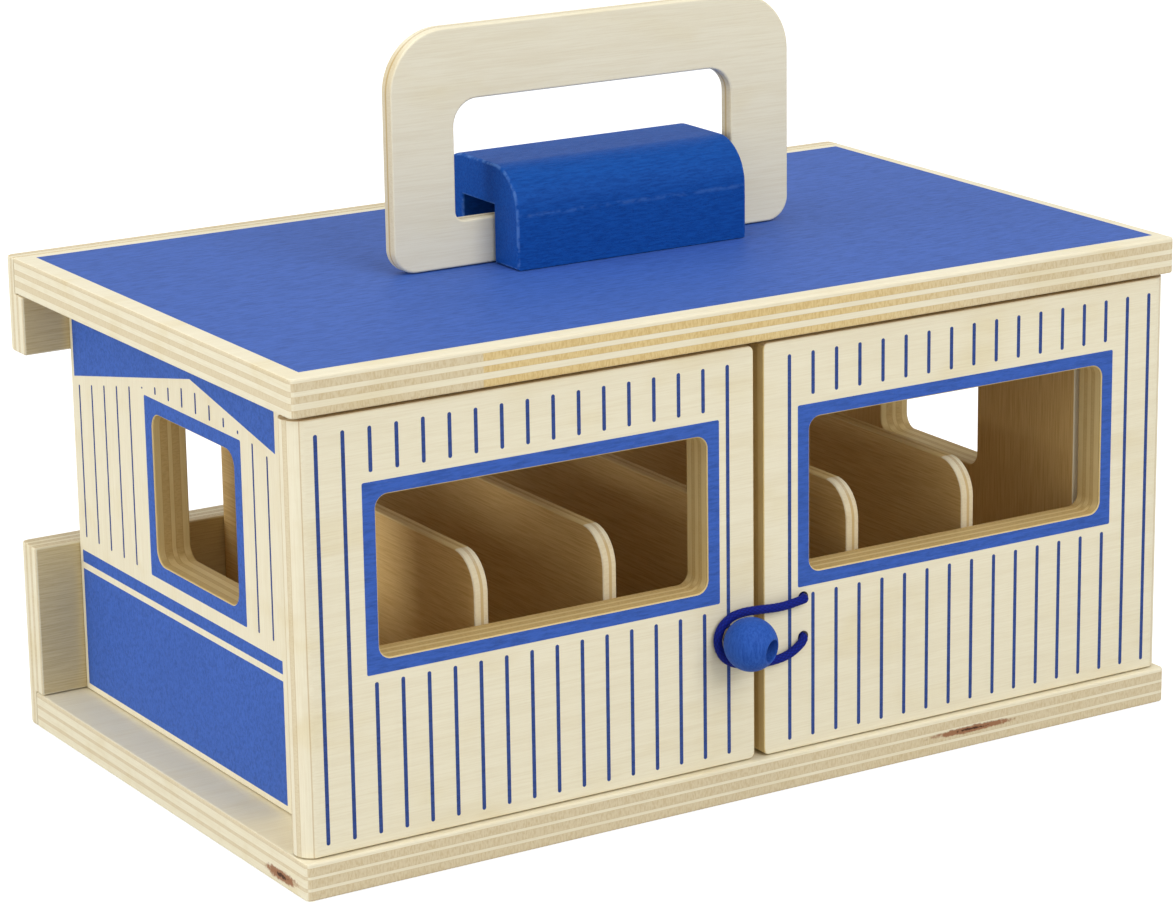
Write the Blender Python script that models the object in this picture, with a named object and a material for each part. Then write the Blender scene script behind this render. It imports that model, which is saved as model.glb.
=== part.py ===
"""A toy barn of plywood with two opening doors, six open stalls and a carrying handle that folds.

All sizes are in metres. The origin is the centre of the base's underside, +X is the right-hand
side of someone who faces the doors, the doors face -Y and +Z is up.
"""

import math

import bmesh
import bpy
from mathutils import Matrix, Vector

# Carcass: overall sizes, the boards, and the clearance between pieces that touch
BARN_LENGTH = 0.330
BARN_DEPTH = 0.200
BARN_HEIGHT = 0.162
PLY = 0.012
FIT_GAP = 0.0003
CORNER_RADIUS = 0.002
ARRIS = 0.0006
OVERRUN = 0.002

# Rear boards, rabbeted over the rear edges of the roof and the base
RABBET_DEPTH = 0.006
FASCIA_HEIGHT = 0.032
LOW_BOARD_HEIGHT = 0.064
REAR_ROUNDING = 0.0025

# Doors, each with a half-round hinge edge and one window
DOOR_PLY = 0.012
DOOR_FRONT_SETBACK = 0.0022
DOOR_REAR_GAP = 0.0026
DOOR_END_INSET = 0.0006
DOOR_MEETING_GAP = 0.0036
DOOR_BOTTOM_GAP = 0.0005
DOOR_TOP_GAP = 0.0015
DOOR_CORNER_RADIUS = 0.002
DOOR_WINDOW_SILL = 0.0587
DOOR_WINDOW_HEAD = 0.0265
DOOR_WINDOW_STILE = 0.0177
DOOR_WINDOW_FROM_HINGE = 0.0217
DOOR_WINDOW_RADIUS = 0.004

# Side walls and their windows
WALL_INSET = 0.016
WALL_WINDOW_SILL = 0.0591
WALL_WINDOW_HEAD = 0.0281
WALL_WINDOW_FRONT_STILE = 0.0536
WALL_WINDOW_REAR_STILE = 0.0601
WALL_WINDOW_RADIUS = 0.005

# Stall dividers, evenly spaced between the side walls
DIVIDERS = 5
DIVIDER_PLY = 0.005
DIVIDER_HEIGHT = 0.0797
DIVIDER_RADIUS = 0.012

# Pivot pins of the doors, and the dowels of the side walls
PIN_RADIUS = 0.0015
PIN_DEPTH_IN_BOARD = 0.009
PIN_DEPTH_IN_DOOR = 0.012
DOWEL_RADIUS = 0.003
DOWEL_DEPTH_IN_BOARD = 0.008
DOWEL_DEPTH_IN_WALL = 0.012
DOWEL_END_DISTANCE = 0.028
PIN_END_CHAMFER = 0.0003
DOWEL_END_CHAMFER = 0.0006

# Carrying handle: a thin plate with a grip hole, which turns on its lower edge
HANDLE_PLY = 0.006
HANDLE_LENGTH = 0.152
HANDLE_HEIGHT = 0.0782
HANDLE_SETBACK = 0.100
HANDLE_TOP_RADIUS = 0.020
HANDLE_BOTTOM_RADIUS = 0.008
HANDLE_HEEL_RADIUS = 0.0026
HANDLE_PIVOT_RISE = 0.0033
HANDLE_ARRIS = 0.0008
GRIP_LENGTH = 0.106
GRIP_HEIGHT = 0.0392
GRIP_RISE = 0.0152
GRIP_TOP_RADIUS = 0.0087
GRIP_BOTTOM_RADIUS = 0.003

# Block that keeps the handle on the roof, with its channel and its screws
BLOCK_LENGTH = 0.088
BLOCK_OFFSET = 0.0043
BLOCK_LEG = 0.015
BLOCK_HEIGHT = 0.0327
BLOCK_ROUNDING = 0.015
BLOCK_ARRIS = 0.001
CHANNEL_DEPTH = 0.020
CHANNEL_HEIGHT = 0.0191
CHANNEL_FRONT_CLEARANCE = 0.001
SCREW_RADIUS = 0.002
SCREW_HEAD_RADIUS = 0.004
SCREW_HEAD_DEPTH = 0.0025
SCREW_DEPTH_IN_BLOCK = 0.014
SCREW_POINT = 0.003

# Latch: a bead on a peg in the left door, and an elastic loop through the right door
BEAD_RADIUS = 0.00865
BEAD_FROM_FREE_EDGE = 0.0089
BEAD_HEIGHT = 0.0429
BEAD_STANDOFF = 0.0112
BEAD_BORE_RADIUS = 0.0036
BEAD_BORE_DEPTH = 0.008
BEAD_BORE_TURN = math.radians(27)
BEAD_BORE_DIP = math.radians(8)
PEG_RADIUS = 0.003
PEG_DEPTH_IN_DOOR = 0.0095
PEG_END_FROM_BEAD_CENTRE = 0.004
CORD_RADIUS = 0.00145
LOOP_HOLE_RADIUS = 0.002
LOOP_HOLE_FROM_FREE_EDGE = 0.0151
LOOP_HOLE_HEIGHT_LOW = 0.0373
LOOP_HOLE_HEIGHT_HIGH = 0.0505
KNOT_RADIUS = 0.0037
KNOT_HALF_HEIGHT = 0.0032
KNOT_TAIL = 0.008

# Facets of round shapes
CORNER_STEPS = 4
ARRIS_STEPS = 2
WINDOW_STEPS = 4
HINGE_STEPS = 10
LARGE_STEPS = 7
PIN_SIDES = 16
BEAD_SIDES = 24
BEAD_RINGS = 16
KNOT_SIDES = 12
KNOT_RINGS = 8
ROUTE_STEPS = 2
CORD_RESOLUTION = 2
SHARP_ANGLE = math.radians(35)
ARRIS_ANGLE = math.radians(60)

# The loop's centre line from the knot's top, out through the right door, round the peg and back:
# X from the barn's middle, Y from the doors' middle plane and Z from the base's underside
LOOP_ROUTE = [
    (0.0169, 0.0100, 0.0599),
    (0.0169, 0.0091, 0.0621),
    (0.0169, 0.0069, 0.0630),
    (0.0169, 0.0008, 0.0630),
    (0.0169, -0.0048, 0.0630),
    (0.0165, -0.0069, 0.0630),
    (0.0151, -0.0078, 0.0629),
    (0.0070, -0.0078, 0.0621),
    (-0.0015, -0.0078, 0.0626),
    (-0.0068, -0.0078, 0.0628),
    (-0.0114, -0.0078, 0.0621),
    (-0.0148, -0.0078, 0.0600),
    (-0.0166, -0.0078, 0.0572),
    (-0.0169, -0.0078, 0.0543),
    (-0.0159, -0.0078, 0.0510),
    (-0.0137, -0.0078, 0.0483),
    (-0.0100, -0.0078, 0.0463),
    (-0.0040, -0.0078, 0.0450),
    (0.0030, -0.0078, 0.0446),
    (0.0093, -0.0078, 0.0454),
    (0.0138, -0.0078, 0.0476),
    (0.0163, -0.0070, 0.0494),
    (0.0169, -0.0048, 0.0498),
    (0.0169, 0.0008, 0.0498),
    (0.0169, 0.0069, 0.0498),
    (0.0169, 0.0091, 0.0507),
    (0.0169, 0.0100, 0.0529),
]

# Places that several pieces share
X_END = BARN_LENGTH / 2
Y_FRONT = -BARN_DEPTH / 2
Y_REAR = BARN_DEPTH / 2
Y_RABBET = Y_REAR - PLY + RABBET_DEPTH
Y_REAR_BOARD = Y_REAR - PLY
ROOF_UNDERSIDE = BARN_HEIGHT - PLY
Y_INTERIOR = Y_FRONT + DOOR_FRONT_SETBACK + DOOR_PLY + DOOR_REAR_GAP
Y_INTERIOR_REAR = Y_REAR_BOARD - FIT_GAP
WALL_BOTTOM = PLY + FIT_GAP
WALL_TOP = ROOF_UNDERSIDE - FIT_GAP
HINGE_RADIUS = DOOR_PLY / 2
HINGE_X = X_END - DOOR_END_INSET - HINGE_RADIUS
HINGE_Y = Y_FRONT + DOOR_FRONT_SETBACK + HINGE_RADIUS
DOOR_BOTTOM = PLY + DOOR_BOTTOM_GAP
DOOR_TOP = ROOF_UNDERSIDE - DOOR_TOP_GAP
FREE_EDGE = X_END - DOOR_END_INSET - DOOR_MEETING_GAP / 2 - HINGE_RADIUS
DOOR_WINDOW_WIDTH = FREE_EDGE - DOOR_WINDOW_STILE - DOOR_WINDOW_FROM_HINGE
DOOR_WINDOW_HEIGHT = DOOR_TOP - DOOR_BOTTOM - DOOR_WINDOW_SILL - DOOR_WINDOW_HEAD
WALL_DEPTH = Y_INTERIOR_REAR - Y_INTERIOR
WALL_WINDOW_WIDTH = WALL_DEPTH - WALL_WINDOW_FRONT_STILE - WALL_WINDOW_REAR_STILE
WALL_WINDOW_HEIGHT = WALL_TOP - WALL_BOTTOM - WALL_WINDOW_SILL - WALL_WINDOW_HEAD
WALL_MIDDLE = X_END - WALL_INSET - PLY / 2
HANDLE_Y = Y_FRONT + HANDLE_SETBACK
HANDLE_BOTTOM = BARN_HEIGHT + FIT_GAP
CHANNEL_FRONT = HANDLE_Y - HANDLE_PLY / 2 - CHANNEL_FRONT_CLEARANCE
CHANNEL_REAR = CHANNEL_FRONT + CHANNEL_DEPTH
PEG_Z = PLY + DOOR_BOTTOM_GAP + BEAD_HEIGHT
ALONG_Y = Matrix.Rotation(-math.pi / 2, 4, "X")


def finish(name, colour, roughness, metallic=0.0):
    """One Principled material."""
    made = bpy.data.materials.new(name)
    made.use_nodes = True
    shader = made.node_tree.nodes["Principled BSDF"]
    shader.inputs["Base Color"].default_value = (*colour, 1.0)
    shader.inputs["Roughness"].default_value = roughness
    shader.inputs["Metallic"].default_value = metallic
    made.diffuse_color = (*colour, 1.0)
    return made


def arc(centre, radius, start, end, steps):
    """Points on an arc from one angle in degrees to another, with both ends."""
    turns = [math.radians(start + (end - start) * step / steps) for step in range(steps + 1)]
    return [(centre[0] + radius * math.cos(t), centre[1] + radius * math.sin(t)) for t in turns]


def rounded_rectangle(low, high, radii, steps):
    """A rectangle's outline whose corners, from the lower left one, have the given radii."""
    corners = [(low[0], low[1]), (high[0], low[1]), (high[0], high[1]), (low[0], high[1])]
    inward = [(1, 1), (-1, 1), (-1, -1), (1, -1)]
    outline = []
    for quarter, (corner, sign, radius) in enumerate(zip(corners, inward, radii)):
        if radius == 0:
            outline.append(corner)
            continue
        centre = (corner[0] + sign[0] * radius, corner[1] + sign[1] * radius)
        outline += arc(centre, radius, 180 + 90 * quarter, 270 + 90 * quarter, steps)
    return outline


def add_prism(mesh, outline, axis, low, high):
    """Adds a closed prism: its outline lies across the axis, in the other two axes' order."""

    def place(u, v, along):
        return {"X": (along, u, v), "Y": (u, along, v), "Z": (u, v, along)}[axis]

    face = mesh.faces.new([mesh.verts.new(place(u, v, low)) for u, v in outline])
    grown = bmesh.ops.extrude_face_region(mesh, geom=[face])["geom"]
    moved = [piece for piece in grown if isinstance(piece, bmesh.types.BMVert)]
    bmesh.ops.translate(mesh, verts=moved, vec=place(0, 0, high - low))
    bmesh.ops.recalc_face_normals(mesh, faces=mesh.faces)


def add_turned(mesh, profile, sides, placed):
    """Adds a closed solid turned round Z from (radius, height) points, bottom first, then places it."""
    turns = [2 * math.pi * side / sides for side in range(sides)]
    rings = []
    for radius, height in profile:
        ring = [Vector((radius * math.cos(t), radius * math.sin(t), height)) for t in turns]
        rings.append([mesh.verts.new(placed @ point) for point in ring])
    for below, above in zip(rings, rings[1:]):
        for side in range(sides):
            after = (side + 1) % sides
            mesh.faces.new((below[side], below[after], above[after], above[side]))
    mesh.faces.new(list(reversed(rings[0])))
    mesh.faces.new(rings[-1])


def round_edges(mesh, radius, steps, chosen):
    """Rounds the edges that a test of their two ends picks out."""
    edges = [edge for edge in mesh.edges if chosen(edge.verts[0].co, edge.verts[1].co)]
    bmesh.ops.bevel(mesh, geom=edges, offset=radius, segments=steps, profile=0.5, affect="EDGES")


def add_object(name, mesh, look=None, parent=None, location=(0, 0, 0)):
    """Turns a bmesh into an object with one material, shaded smooth up to its sharp edges."""
    data = bpy.data.meshes.new(name)
    mesh.to_mesh(data)
    mesh.free()
    data.shade_smooth()
    data.set_sharp_from_angle(angle=SHARP_ANGLE)
    if look:
        data.materials.append(look)
    made = bpy.data.objects.new(name, data)
    bpy.context.scene.collection.objects.link(made)
    made.parent = parent
    made.location = location
    return made


def cut(piece, name, mesh):
    """Cuts the closed solids in a bmesh, given in the piece's own axes, out of the piece."""
    cutter = add_object(name, mesh, parent=piece)
    cutter.hide_render = True
    cutter.display_type = "WIRE"
    boolean = piece.modifiers.new(name, "BOOLEAN")
    boolean.operation = "DIFFERENCE"
    boolean.solver = "EXACT"
    boolean.object = cutter


def ease(piece, width):
    """Eases every square edge that the piece has so far."""
    bevel = piece.modifiers.new("arris", "BEVEL")
    bevel.width = width
    bevel.segments = ARRIS_STEPS
    bevel.limit_method = "ANGLE"
    bevel.angle_limit = ARRIS_ANGLE


def is_upright(one, other):
    """True of an edge that runs along Z."""
    return (one - other).xy.length < FIT_GAP


def wall_dowel_places():
    """X and Y of the four dowels that meet each of the roof and the base."""
    ends = (Y_INTERIOR + DOWEL_END_DISTANCE, Y_INTERIOR_REAR - DOWEL_END_DISTANCE)
    return [(side * WALL_MIDDLE, y) for side in (-1, 1) for y in ends]


def add_upright_bores(mesh, places, radius, low, high):
    """Adds round cutters along Z at each place."""
    for x, y in places:
        profile = [(radius, low), (radius, high)]
        add_turned(mesh, profile, PIN_SIDES, Matrix.Translation((x, y, 0)))


def flat_board(name, low, high, look):
    """The base or the roof board, with its two front corners rounded."""
    mesh = bmesh.new()
    corners = (-X_END, Y_FRONT), (X_END, Y_RABBET - FIT_GAP)
    radii = (CORNER_RADIUS, CORNER_RADIUS, 0, 0)
    add_prism(mesh, rounded_rectangle(*corners, radii, CORNER_STEPS), "Z", low, high)
    board = add_object(name, mesh, look)
    ease(board, ARRIS)
    return board


def base_board(look):
    """The floor of the barn, bored for the door pins and the wall dowels."""
    board = flat_board("base_board", 0, PLY, look)
    bores = bmesh.new()
    pins = [(side * HINGE_X, HINGE_Y) for side in (-1, 1)]
    depth = PLY - PIN_DEPTH_IN_BOARD - FIT_GAP
    add_upright_bores(bores, pins, PIN_RADIUS + FIT_GAP, depth, PLY + OVERRUN)
    depth = PLY - DOWEL_DEPTH_IN_BOARD - FIT_GAP
    add_upright_bores(bores, wall_dowel_places(), DOWEL_RADIUS + FIT_GAP, depth, PLY + OVERRUN)
    cut(board, "base_bores", bores)


def roof_board(look):
    """The roof, bored from below for the pins and dowels and right through for the screws."""
    board = flat_board("roof_board", ROOF_UNDERSIDE, BARN_HEIGHT, look)
    bores = bmesh.new()
    pins = [(side * HINGE_X, HINGE_Y) for side in (-1, 1)]
    below = ROOF_UNDERSIDE - OVERRUN
    top = ROOF_UNDERSIDE + PIN_DEPTH_IN_BOARD + FIT_GAP
    add_upright_bores(bores, pins, PIN_RADIUS + FIT_GAP, below, top)
    top = ROOF_UNDERSIDE + DOWEL_DEPTH_IN_BOARD + FIT_GAP
    add_upright_bores(bores, wall_dowel_places(), DOWEL_RADIUS + FIT_GAP, below, top)
    for x, y in screw_places():
        profile = [
            (SCREW_HEAD_RADIUS + FIT_GAP, below),
            (SCREW_HEAD_RADIUS + FIT_GAP, ROOF_UNDERSIDE + FIT_GAP),
            (SCREW_RADIUS + FIT_GAP, ROOF_UNDERSIDE + FIT_GAP + SCREW_HEAD_DEPTH),
            (SCREW_RADIUS + FIT_GAP, BARN_HEIGHT + OVERRUN),
        ]
        add_turned(bores, profile, PIN_SIDES, Matrix.Translation((x, y, 0)))
    cut(board, "roof_bores", bores)


def rear_board(name, section, rounded_z, look):
    """A full-length rear board from its section in Y and Z, with its rear ends and edge rounded."""
    mesh = bmesh.new()
    add_prism(mesh, section, "X", -X_END, X_END)
    round_edges(
        mesh,
        REAR_ROUNDING,
        CORNER_STEPS,
        lambda one, other: min(one.y, other.y) > Y_REAR - FIT_GAP
        and (is_upright(one, other) or max(one.z, other.z) < rounded_z + FIT_GAP),
    )
    ease(add_object(name, mesh, look), ARRIS)


def rear_fascia(look):
    """The board under the roof's rear edge, whose rabbet holds the roof."""
    shoulder = ROOF_UNDERSIDE - FIT_GAP
    bottom = BARN_HEIGHT - FASCIA_HEIGHT
    section = [
        (Y_REAR_BOARD, bottom),
        (Y_REAR, bottom),
        (Y_REAR, BARN_HEIGHT),
        (Y_RABBET, BARN_HEIGHT),
        (Y_RABBET, shoulder),
        (Y_REAR_BOARD, shoulder),
    ]
    rear_board("rear_fascia", section, bottom, look)


def low_rear_board(look):
    """The low board behind the stalls, whose rabbet stands over the base's rear edge."""
    shoulder = PLY + FIT_GAP
    section = [
        (Y_RABBET, 0),
        (Y_REAR, 0),
        (Y_REAR, LOW_BOARD_HEIGHT),
        (Y_REAR_BOARD, LOW_BOARD_HEIGHT),
        (Y_REAR_BOARD, shoulder),
        (Y_RABBET, shoulder),
    ]
    rear_board("low_rear_board", section, 0, look)


def side_wall(side, look):
    """A side wall with its window, bored for the dowels."""
    outer = side * (X_END - WALL_INSET)
    inner = outer - side * PLY
    low, high = min(outer, inner), max(outer, inner)
    mesh = bmesh.new()
    corners = (Y_INTERIOR, WALL_BOTTOM), (Y_INTERIOR_REAR, WALL_TOP)
    add_prism(mesh, rounded_rectangle(*corners, (0, 0, 0, 0), CORNER_STEPS), "X", low, high)
    wall = add_object("side_wall_left" if side < 0 else "side_wall_right", mesh, look)
    window = bmesh.new()
    window_rear = Y_INTERIOR_REAR - WALL_WINDOW_REAR_STILE
    window_front = window_rear - WALL_WINDOW_WIDTH
    sill = WALL_BOTTOM + WALL_WINDOW_SILL
    corners = (window_front, sill), (window_rear, sill + WALL_WINDOW_HEIGHT)
    outline = rounded_rectangle(*corners, (WALL_WINDOW_RADIUS,) * 4, WINDOW_STEPS)
    add_prism(window, outline, "X", low - OVERRUN, high + OVERRUN)
    cut(wall, wall.name + "_window", window)
    ease(wall, ARRIS)
    bores = bmesh.new()
    places = [(x, y) for x, y in wall_dowel_places() if x * side > 0]
    radius = DOWEL_RADIUS + FIT_GAP
    depth = DOWEL_DEPTH_IN_WALL + FIT_GAP
    add_upright_bores(bores, places, radius, WALL_BOTTOM - OVERRUN, PLY + depth)
    add_upright_bores(bores, places, radius, ROOF_UNDERSIDE - depth, WALL_TOP + OVERRUN)
    cut(wall, wall.name + "_bores", bores)


def stall_dividers(look):
    """Thin upright boards whose upper front corners are rounded."""
    inside = 2 * (X_END - WALL_INSET - PLY)
    stall = (inside - DIVIDERS * DIVIDER_PLY) / (DIVIDERS + 1)
    for number in range(DIVIDERS):
        left = -inside / 2 + stall + number * (stall + DIVIDER_PLY)
        mesh = bmesh.new()
        corners = (Y_INTERIOR, WALL_BOTTOM), (Y_INTERIOR_REAR, WALL_BOTTOM + DIVIDER_HEIGHT)
        outline = rounded_rectangle(*corners, (0, 0, 0, DIVIDER_RADIUS), LARGE_STEPS)
        add_prism(mesh, outline, "X", left, left + DIVIDER_PLY)
        ease(add_object(f"stall_divider_{number + 1}", mesh, look), ARRIS)


def door(side, look):
    """A door in axes whose origin is on its hinge line, at the height of the base's underside."""
    inward = -side
    mesh = bmesh.new()
    outline = [(FREE_EDGE, -HINGE_RADIUS), (FREE_EDGE, HINGE_RADIUS)]
    outline += arc((0, 0), HINGE_RADIUS, 90, 270, HINGE_STEPS)
    add_prism(mesh, [(inward * x, y) for x, y in outline], "Z", DOOR_BOTTOM, DOOR_TOP)
    round_edges(
        mesh,
        DOOR_CORNER_RADIUS,
        CORNER_STEPS,
        lambda one, other: abs(one.z - other.z) < FIT_GAP
        and min(abs(one.x), abs(other.x)) > FREE_EDGE - FIT_GAP,
    )
    name = "door_left" if side < 0 else "door_right"
    panel = add_object(name, mesh, look, location=(side * HINGE_X, HINGE_Y, 0))
    window = bmesh.new()
    far = FREE_EDGE - DOOR_WINDOW_STILE
    near = far - DOOR_WINDOW_WIDTH
    sill = DOOR_BOTTOM + DOOR_WINDOW_SILL
    low = (min(inward * near, inward * far), sill)
    high = (max(inward * near, inward * far), sill + DOOR_WINDOW_HEIGHT)
    outline = rounded_rectangle(low, high, (DOOR_WINDOW_RADIUS,) * 4, WINDOW_STEPS)
    add_prism(window, outline, "Y", -HINGE_RADIUS - OVERRUN, HINGE_RADIUS + OVERRUN)
    cut(panel, name + "_window", window)
    ease(panel, ARRIS)
    bores = bmesh.new()
    radius = PIN_RADIUS + FIT_GAP
    depth = PIN_DEPTH_IN_DOOR + FIT_GAP
    add_upright_bores(bores, [(0, 0)], radius, DOOR_BOTTOM - OVERRUN, DOOR_BOTTOM + depth)
    add_upright_bores(bores, [(0, 0)], radius, DOOR_TOP - depth, DOOR_TOP + OVERRUN)
    if side < 0:
        add_peg_bore(bores)
    else:
        add_loop_holes(bores)
    cut(panel, name + "_bores", bores)
    return panel


def add_peg_bore(mesh):
    """Adds the blind bore of the bead's peg to the left door's cutters."""
    profile = [
        (PEG_RADIUS + FIT_GAP, -HINGE_RADIUS - OVERRUN),
        (PEG_RADIUS + FIT_GAP, -HINGE_RADIUS + PEG_DEPTH_IN_DOOR + FIT_GAP),
    ]
    place = Matrix.Translation((FREE_EDGE - BEAD_FROM_FREE_EDGE, 0, PEG_Z))
    add_turned(mesh, profile, PIN_SIDES, place @ ALONG_Y)


def add_loop_holes(mesh):
    """Adds the two holes of the elastic loop to the right door's cutters."""
    profile = [
        (LOOP_HOLE_RADIUS, -HINGE_RADIUS - OVERRUN),
        (LOOP_HOLE_RADIUS, HINGE_RADIUS + OVERRUN),
    ]
    for height in (LOOP_HOLE_HEIGHT_LOW, LOOP_HOLE_HEIGHT_HIGH):
        x = LOOP_HOLE_FROM_FREE_EDGE - FREE_EDGE
        place = Matrix.Translation((x, 0, DOOR_BOTTOM + height))
        add_turned(mesh, profile, PIN_SIDES, place @ ALONG_Y)


def add_rod(name, radius, chamfer, low, high, place, look, parent=None):
    """A pin, dowel or peg with chamfered ends, from low to high along its own Z."""
    profile = [
        (radius - chamfer, low),
        (radius, low + chamfer),
        (radius, high - chamfer),
        (radius - chamfer, high),
    ]
    mesh = bmesh.new()
    add_turned(mesh, profile, PIN_SIDES, place)
    return add_object(name, mesh, look, parent)


def pivot_pins(look):
    """The steel pins, fixed in the base and the roof, on which the doors turn."""
    for side, hand in ((-1, "left"), (1, "right")):
        place = Matrix.Translation((side * HINGE_X, HINGE_Y, 0))
        reach = (PLY - PIN_DEPTH_IN_BOARD, DOOR_BOTTOM + PIN_DEPTH_IN_DOOR)
        add_rod(f"pivot_pin_{hand}_lower", PIN_RADIUS, PIN_END_CHAMFER, *reach, place, look)
        reach = (DOOR_TOP - PIN_DEPTH_IN_DOOR, ROOF_UNDERSIDE + PIN_DEPTH_IN_BOARD)
        add_rod(f"pivot_pin_{hand}_upper", PIN_RADIUS, PIN_END_CHAMFER, *reach, place, look)


def wall_dowels(look):
    """The dowels that join the side walls to the base and the roof."""
    for number, (x, y) in enumerate(wall_dowel_places(), 1):
        place = Matrix.Translation((x, y, 0))
        reach = (PLY - DOWEL_DEPTH_IN_BOARD, PLY + DOWEL_DEPTH_IN_WALL)
        add_rod(f"wall_dowel_lower_{number}", DOWEL_RADIUS, DOWEL_END_CHAMFER, *reach, place, look)
        reach = (ROOF_UNDERSIDE - DOWEL_DEPTH_IN_WALL, ROOF_UNDERSIDE + DOWEL_DEPTH_IN_BOARD)
        add_rod(f"wall_dowel_upper_{number}", DOWEL_RADIUS, DOWEL_END_CHAMFER, *reach, place, look)


def handle(look):
    """The handle plate, in axes whose origin is on the line on which it folds."""
    mesh = bmesh.new()
    bottom = -HANDLE_PIVOT_RISE
    low = (-HANDLE_LENGTH / 2, bottom)
    high = (HANDLE_LENGTH / 2, bottom + HANDLE_HEIGHT)
    radii = (HANDLE_BOTTOM_RADIUS,) * 2 + (HANDLE_TOP_RADIUS,) * 2
    outline = rounded_rectangle(low, high, radii, LARGE_STEPS)
    add_prism(mesh, outline, "Y", -HANDLE_PLY / 2, HANDLE_PLY / 2)
    heel_top = bottom + HANDLE_BOTTOM_RADIUS + FIT_GAP
    round_edges(
        mesh,
        HANDLE_HEEL_RADIUS,
        CORNER_STEPS,
        lambda one, other: abs(one.y - other.y) < FIT_GAP and max(one.z, other.z) < heel_top,
    )
    pivot = (0, HANDLE_Y, HANDLE_BOTTOM + HANDLE_PIVOT_RISE)
    plate = add_object("handle", mesh, look, location=pivot)
    grip = bmesh.new()
    low = (-GRIP_LENGTH / 2, bottom + GRIP_RISE)
    high = (GRIP_LENGTH / 2, bottom + GRIP_RISE + GRIP_HEIGHT)
    radii = (GRIP_BOTTOM_RADIUS,) * 2 + (GRIP_TOP_RADIUS,) * 2
    outline = rounded_rectangle(low, high, radii, WINDOW_STEPS)
    add_prism(grip, outline, "Y", -HANDLE_PLY, HANDLE_PLY)
    cut(plate, "handle_grip", grip)
    ease(plate, HANDLE_ARRIS)


def screw_places():
    """X and Y of the two screws, one in the middle of each leg of the block."""
    front = CHANNEL_FRONT - BLOCK_LEG / 2
    rear = CHANNEL_REAR + BLOCK_LEG / 2
    return [(BLOCK_OFFSET, front), (BLOCK_OFFSET, rear)]


def handle_block(look):
    """The block on the roof, with the channel that the handle's lower bar runs through."""
    bottom = BARN_HEIGHT + FIT_GAP
    top = bottom + BLOCK_HEIGHT
    front = CHANNEL_FRONT - BLOCK_LEG
    rear = CHANNEL_REAR + BLOCK_LEG
    channel_top = bottom + CHANNEL_HEIGHT
    section = [(front, bottom), (CHANNEL_FRONT, bottom), (CHANNEL_FRONT, channel_top)]
    section += [(CHANNEL_REAR, channel_top), (CHANNEL_REAR, bottom), (rear, bottom)]
    spring_line = top - BLOCK_ROUNDING
    section += arc((rear - BLOCK_ROUNDING, spring_line), BLOCK_ROUNDING, 0, 90, LARGE_STEPS)
    section += arc((front + BLOCK_ROUNDING, spring_line), BLOCK_ROUNDING, 90, 180, LARGE_STEPS)
    mesh = bmesh.new()
    left = BLOCK_OFFSET - BLOCK_LENGTH / 2
    add_prism(mesh, section, "X", left, left + BLOCK_LENGTH)
    block = add_object("handle_block", mesh, look)
    ease(block, BLOCK_ARRIS)
    bores = bmesh.new()
    depth = bottom + SCREW_DEPTH_IN_BLOCK + FIT_GAP
    add_upright_bores(bores, screw_places(), SCREW_RADIUS + FIT_GAP, bottom - OVERRUN, depth)
    cut(block, "handle_block_bores", bores)


def block_screws(look):
    """The countersunk screws that go up through the roof into the block's legs."""
    head = ROOF_UNDERSIDE + FIT_GAP
    tip = BARN_HEIGHT + FIT_GAP + SCREW_DEPTH_IN_BLOCK
    profile = [
        (SCREW_HEAD_RADIUS, head),
        (SCREW_RADIUS, head + SCREW_HEAD_DEPTH),
        (SCREW_RADIUS, tip - SCREW_POINT),
        (SCREW_RADIUS / 4, tip),
    ]
    for name, (x, y) in zip(("block_screw_front", "block_screw_rear"), screw_places()):
        mesh = bmesh.new()
        add_turned(mesh, profile, PIN_SIDES, Matrix.Translation((x, y, 0)))
        add_object(name, mesh, look)


def latch_bead(panel, look):
    """The bead, bored on its face and socketed on the peg behind."""
    mesh = bmesh.new()
    bmesh.ops.create_uvsphere(mesh, u_segments=BEAD_SIDES, v_segments=BEAD_RINGS, radius=BEAD_RADIUS)
    place = (FREE_EDGE - BEAD_FROM_FREE_EDGE, -HINGE_RADIUS - BEAD_STANDOFF, PEG_Z)
    bead = add_object("latch_bead", mesh, look, panel, place)
    bores = bmesh.new()
    outward = Vector(
        (
            math.sin(BEAD_BORE_TURN) * math.cos(BEAD_BORE_DIP),
            -math.cos(BEAD_BORE_TURN) * math.cos(BEAD_BORE_DIP),
            -math.sin(BEAD_BORE_DIP),
        )
    )
    aim = outward.to_track_quat("Z", "X").to_matrix().to_4x4()
    floor = BEAD_RADIUS - BEAD_BORE_DEPTH
    profile = [(BEAD_BORE_RADIUS, floor), (BEAD_BORE_RADIUS, BEAD_RADIUS + OVERRUN)]
    add_turned(bores, profile, PIN_SIDES, aim)
    profile = [
        (PEG_RADIUS + FIT_GAP, PEG_END_FROM_BEAD_CENTRE - FIT_GAP),
        (PEG_RADIUS + FIT_GAP, BEAD_RADIUS + OVERRUN),
    ]
    add_turned(bores, profile, PIN_SIDES, ALONG_Y)
    cut(bead, "latch_bead_bores", bores)


def latch_peg(panel, look):
    """The peg that holds the bead clear of the left door."""
    near = PEG_END_FROM_BEAD_CENTRE - HINGE_RADIUS - BEAD_STANDOFF
    far = -HINGE_RADIUS + PEG_DEPTH_IN_DOOR
    place = Matrix.Translation((FREE_EDGE - BEAD_FROM_FREE_EDGE, 0, PEG_Z)) @ ALONG_Y
    add_rod("latch_peg", PEG_RADIUS, PIN_END_CHAMFER, near, far, place, look, panel)


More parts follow.
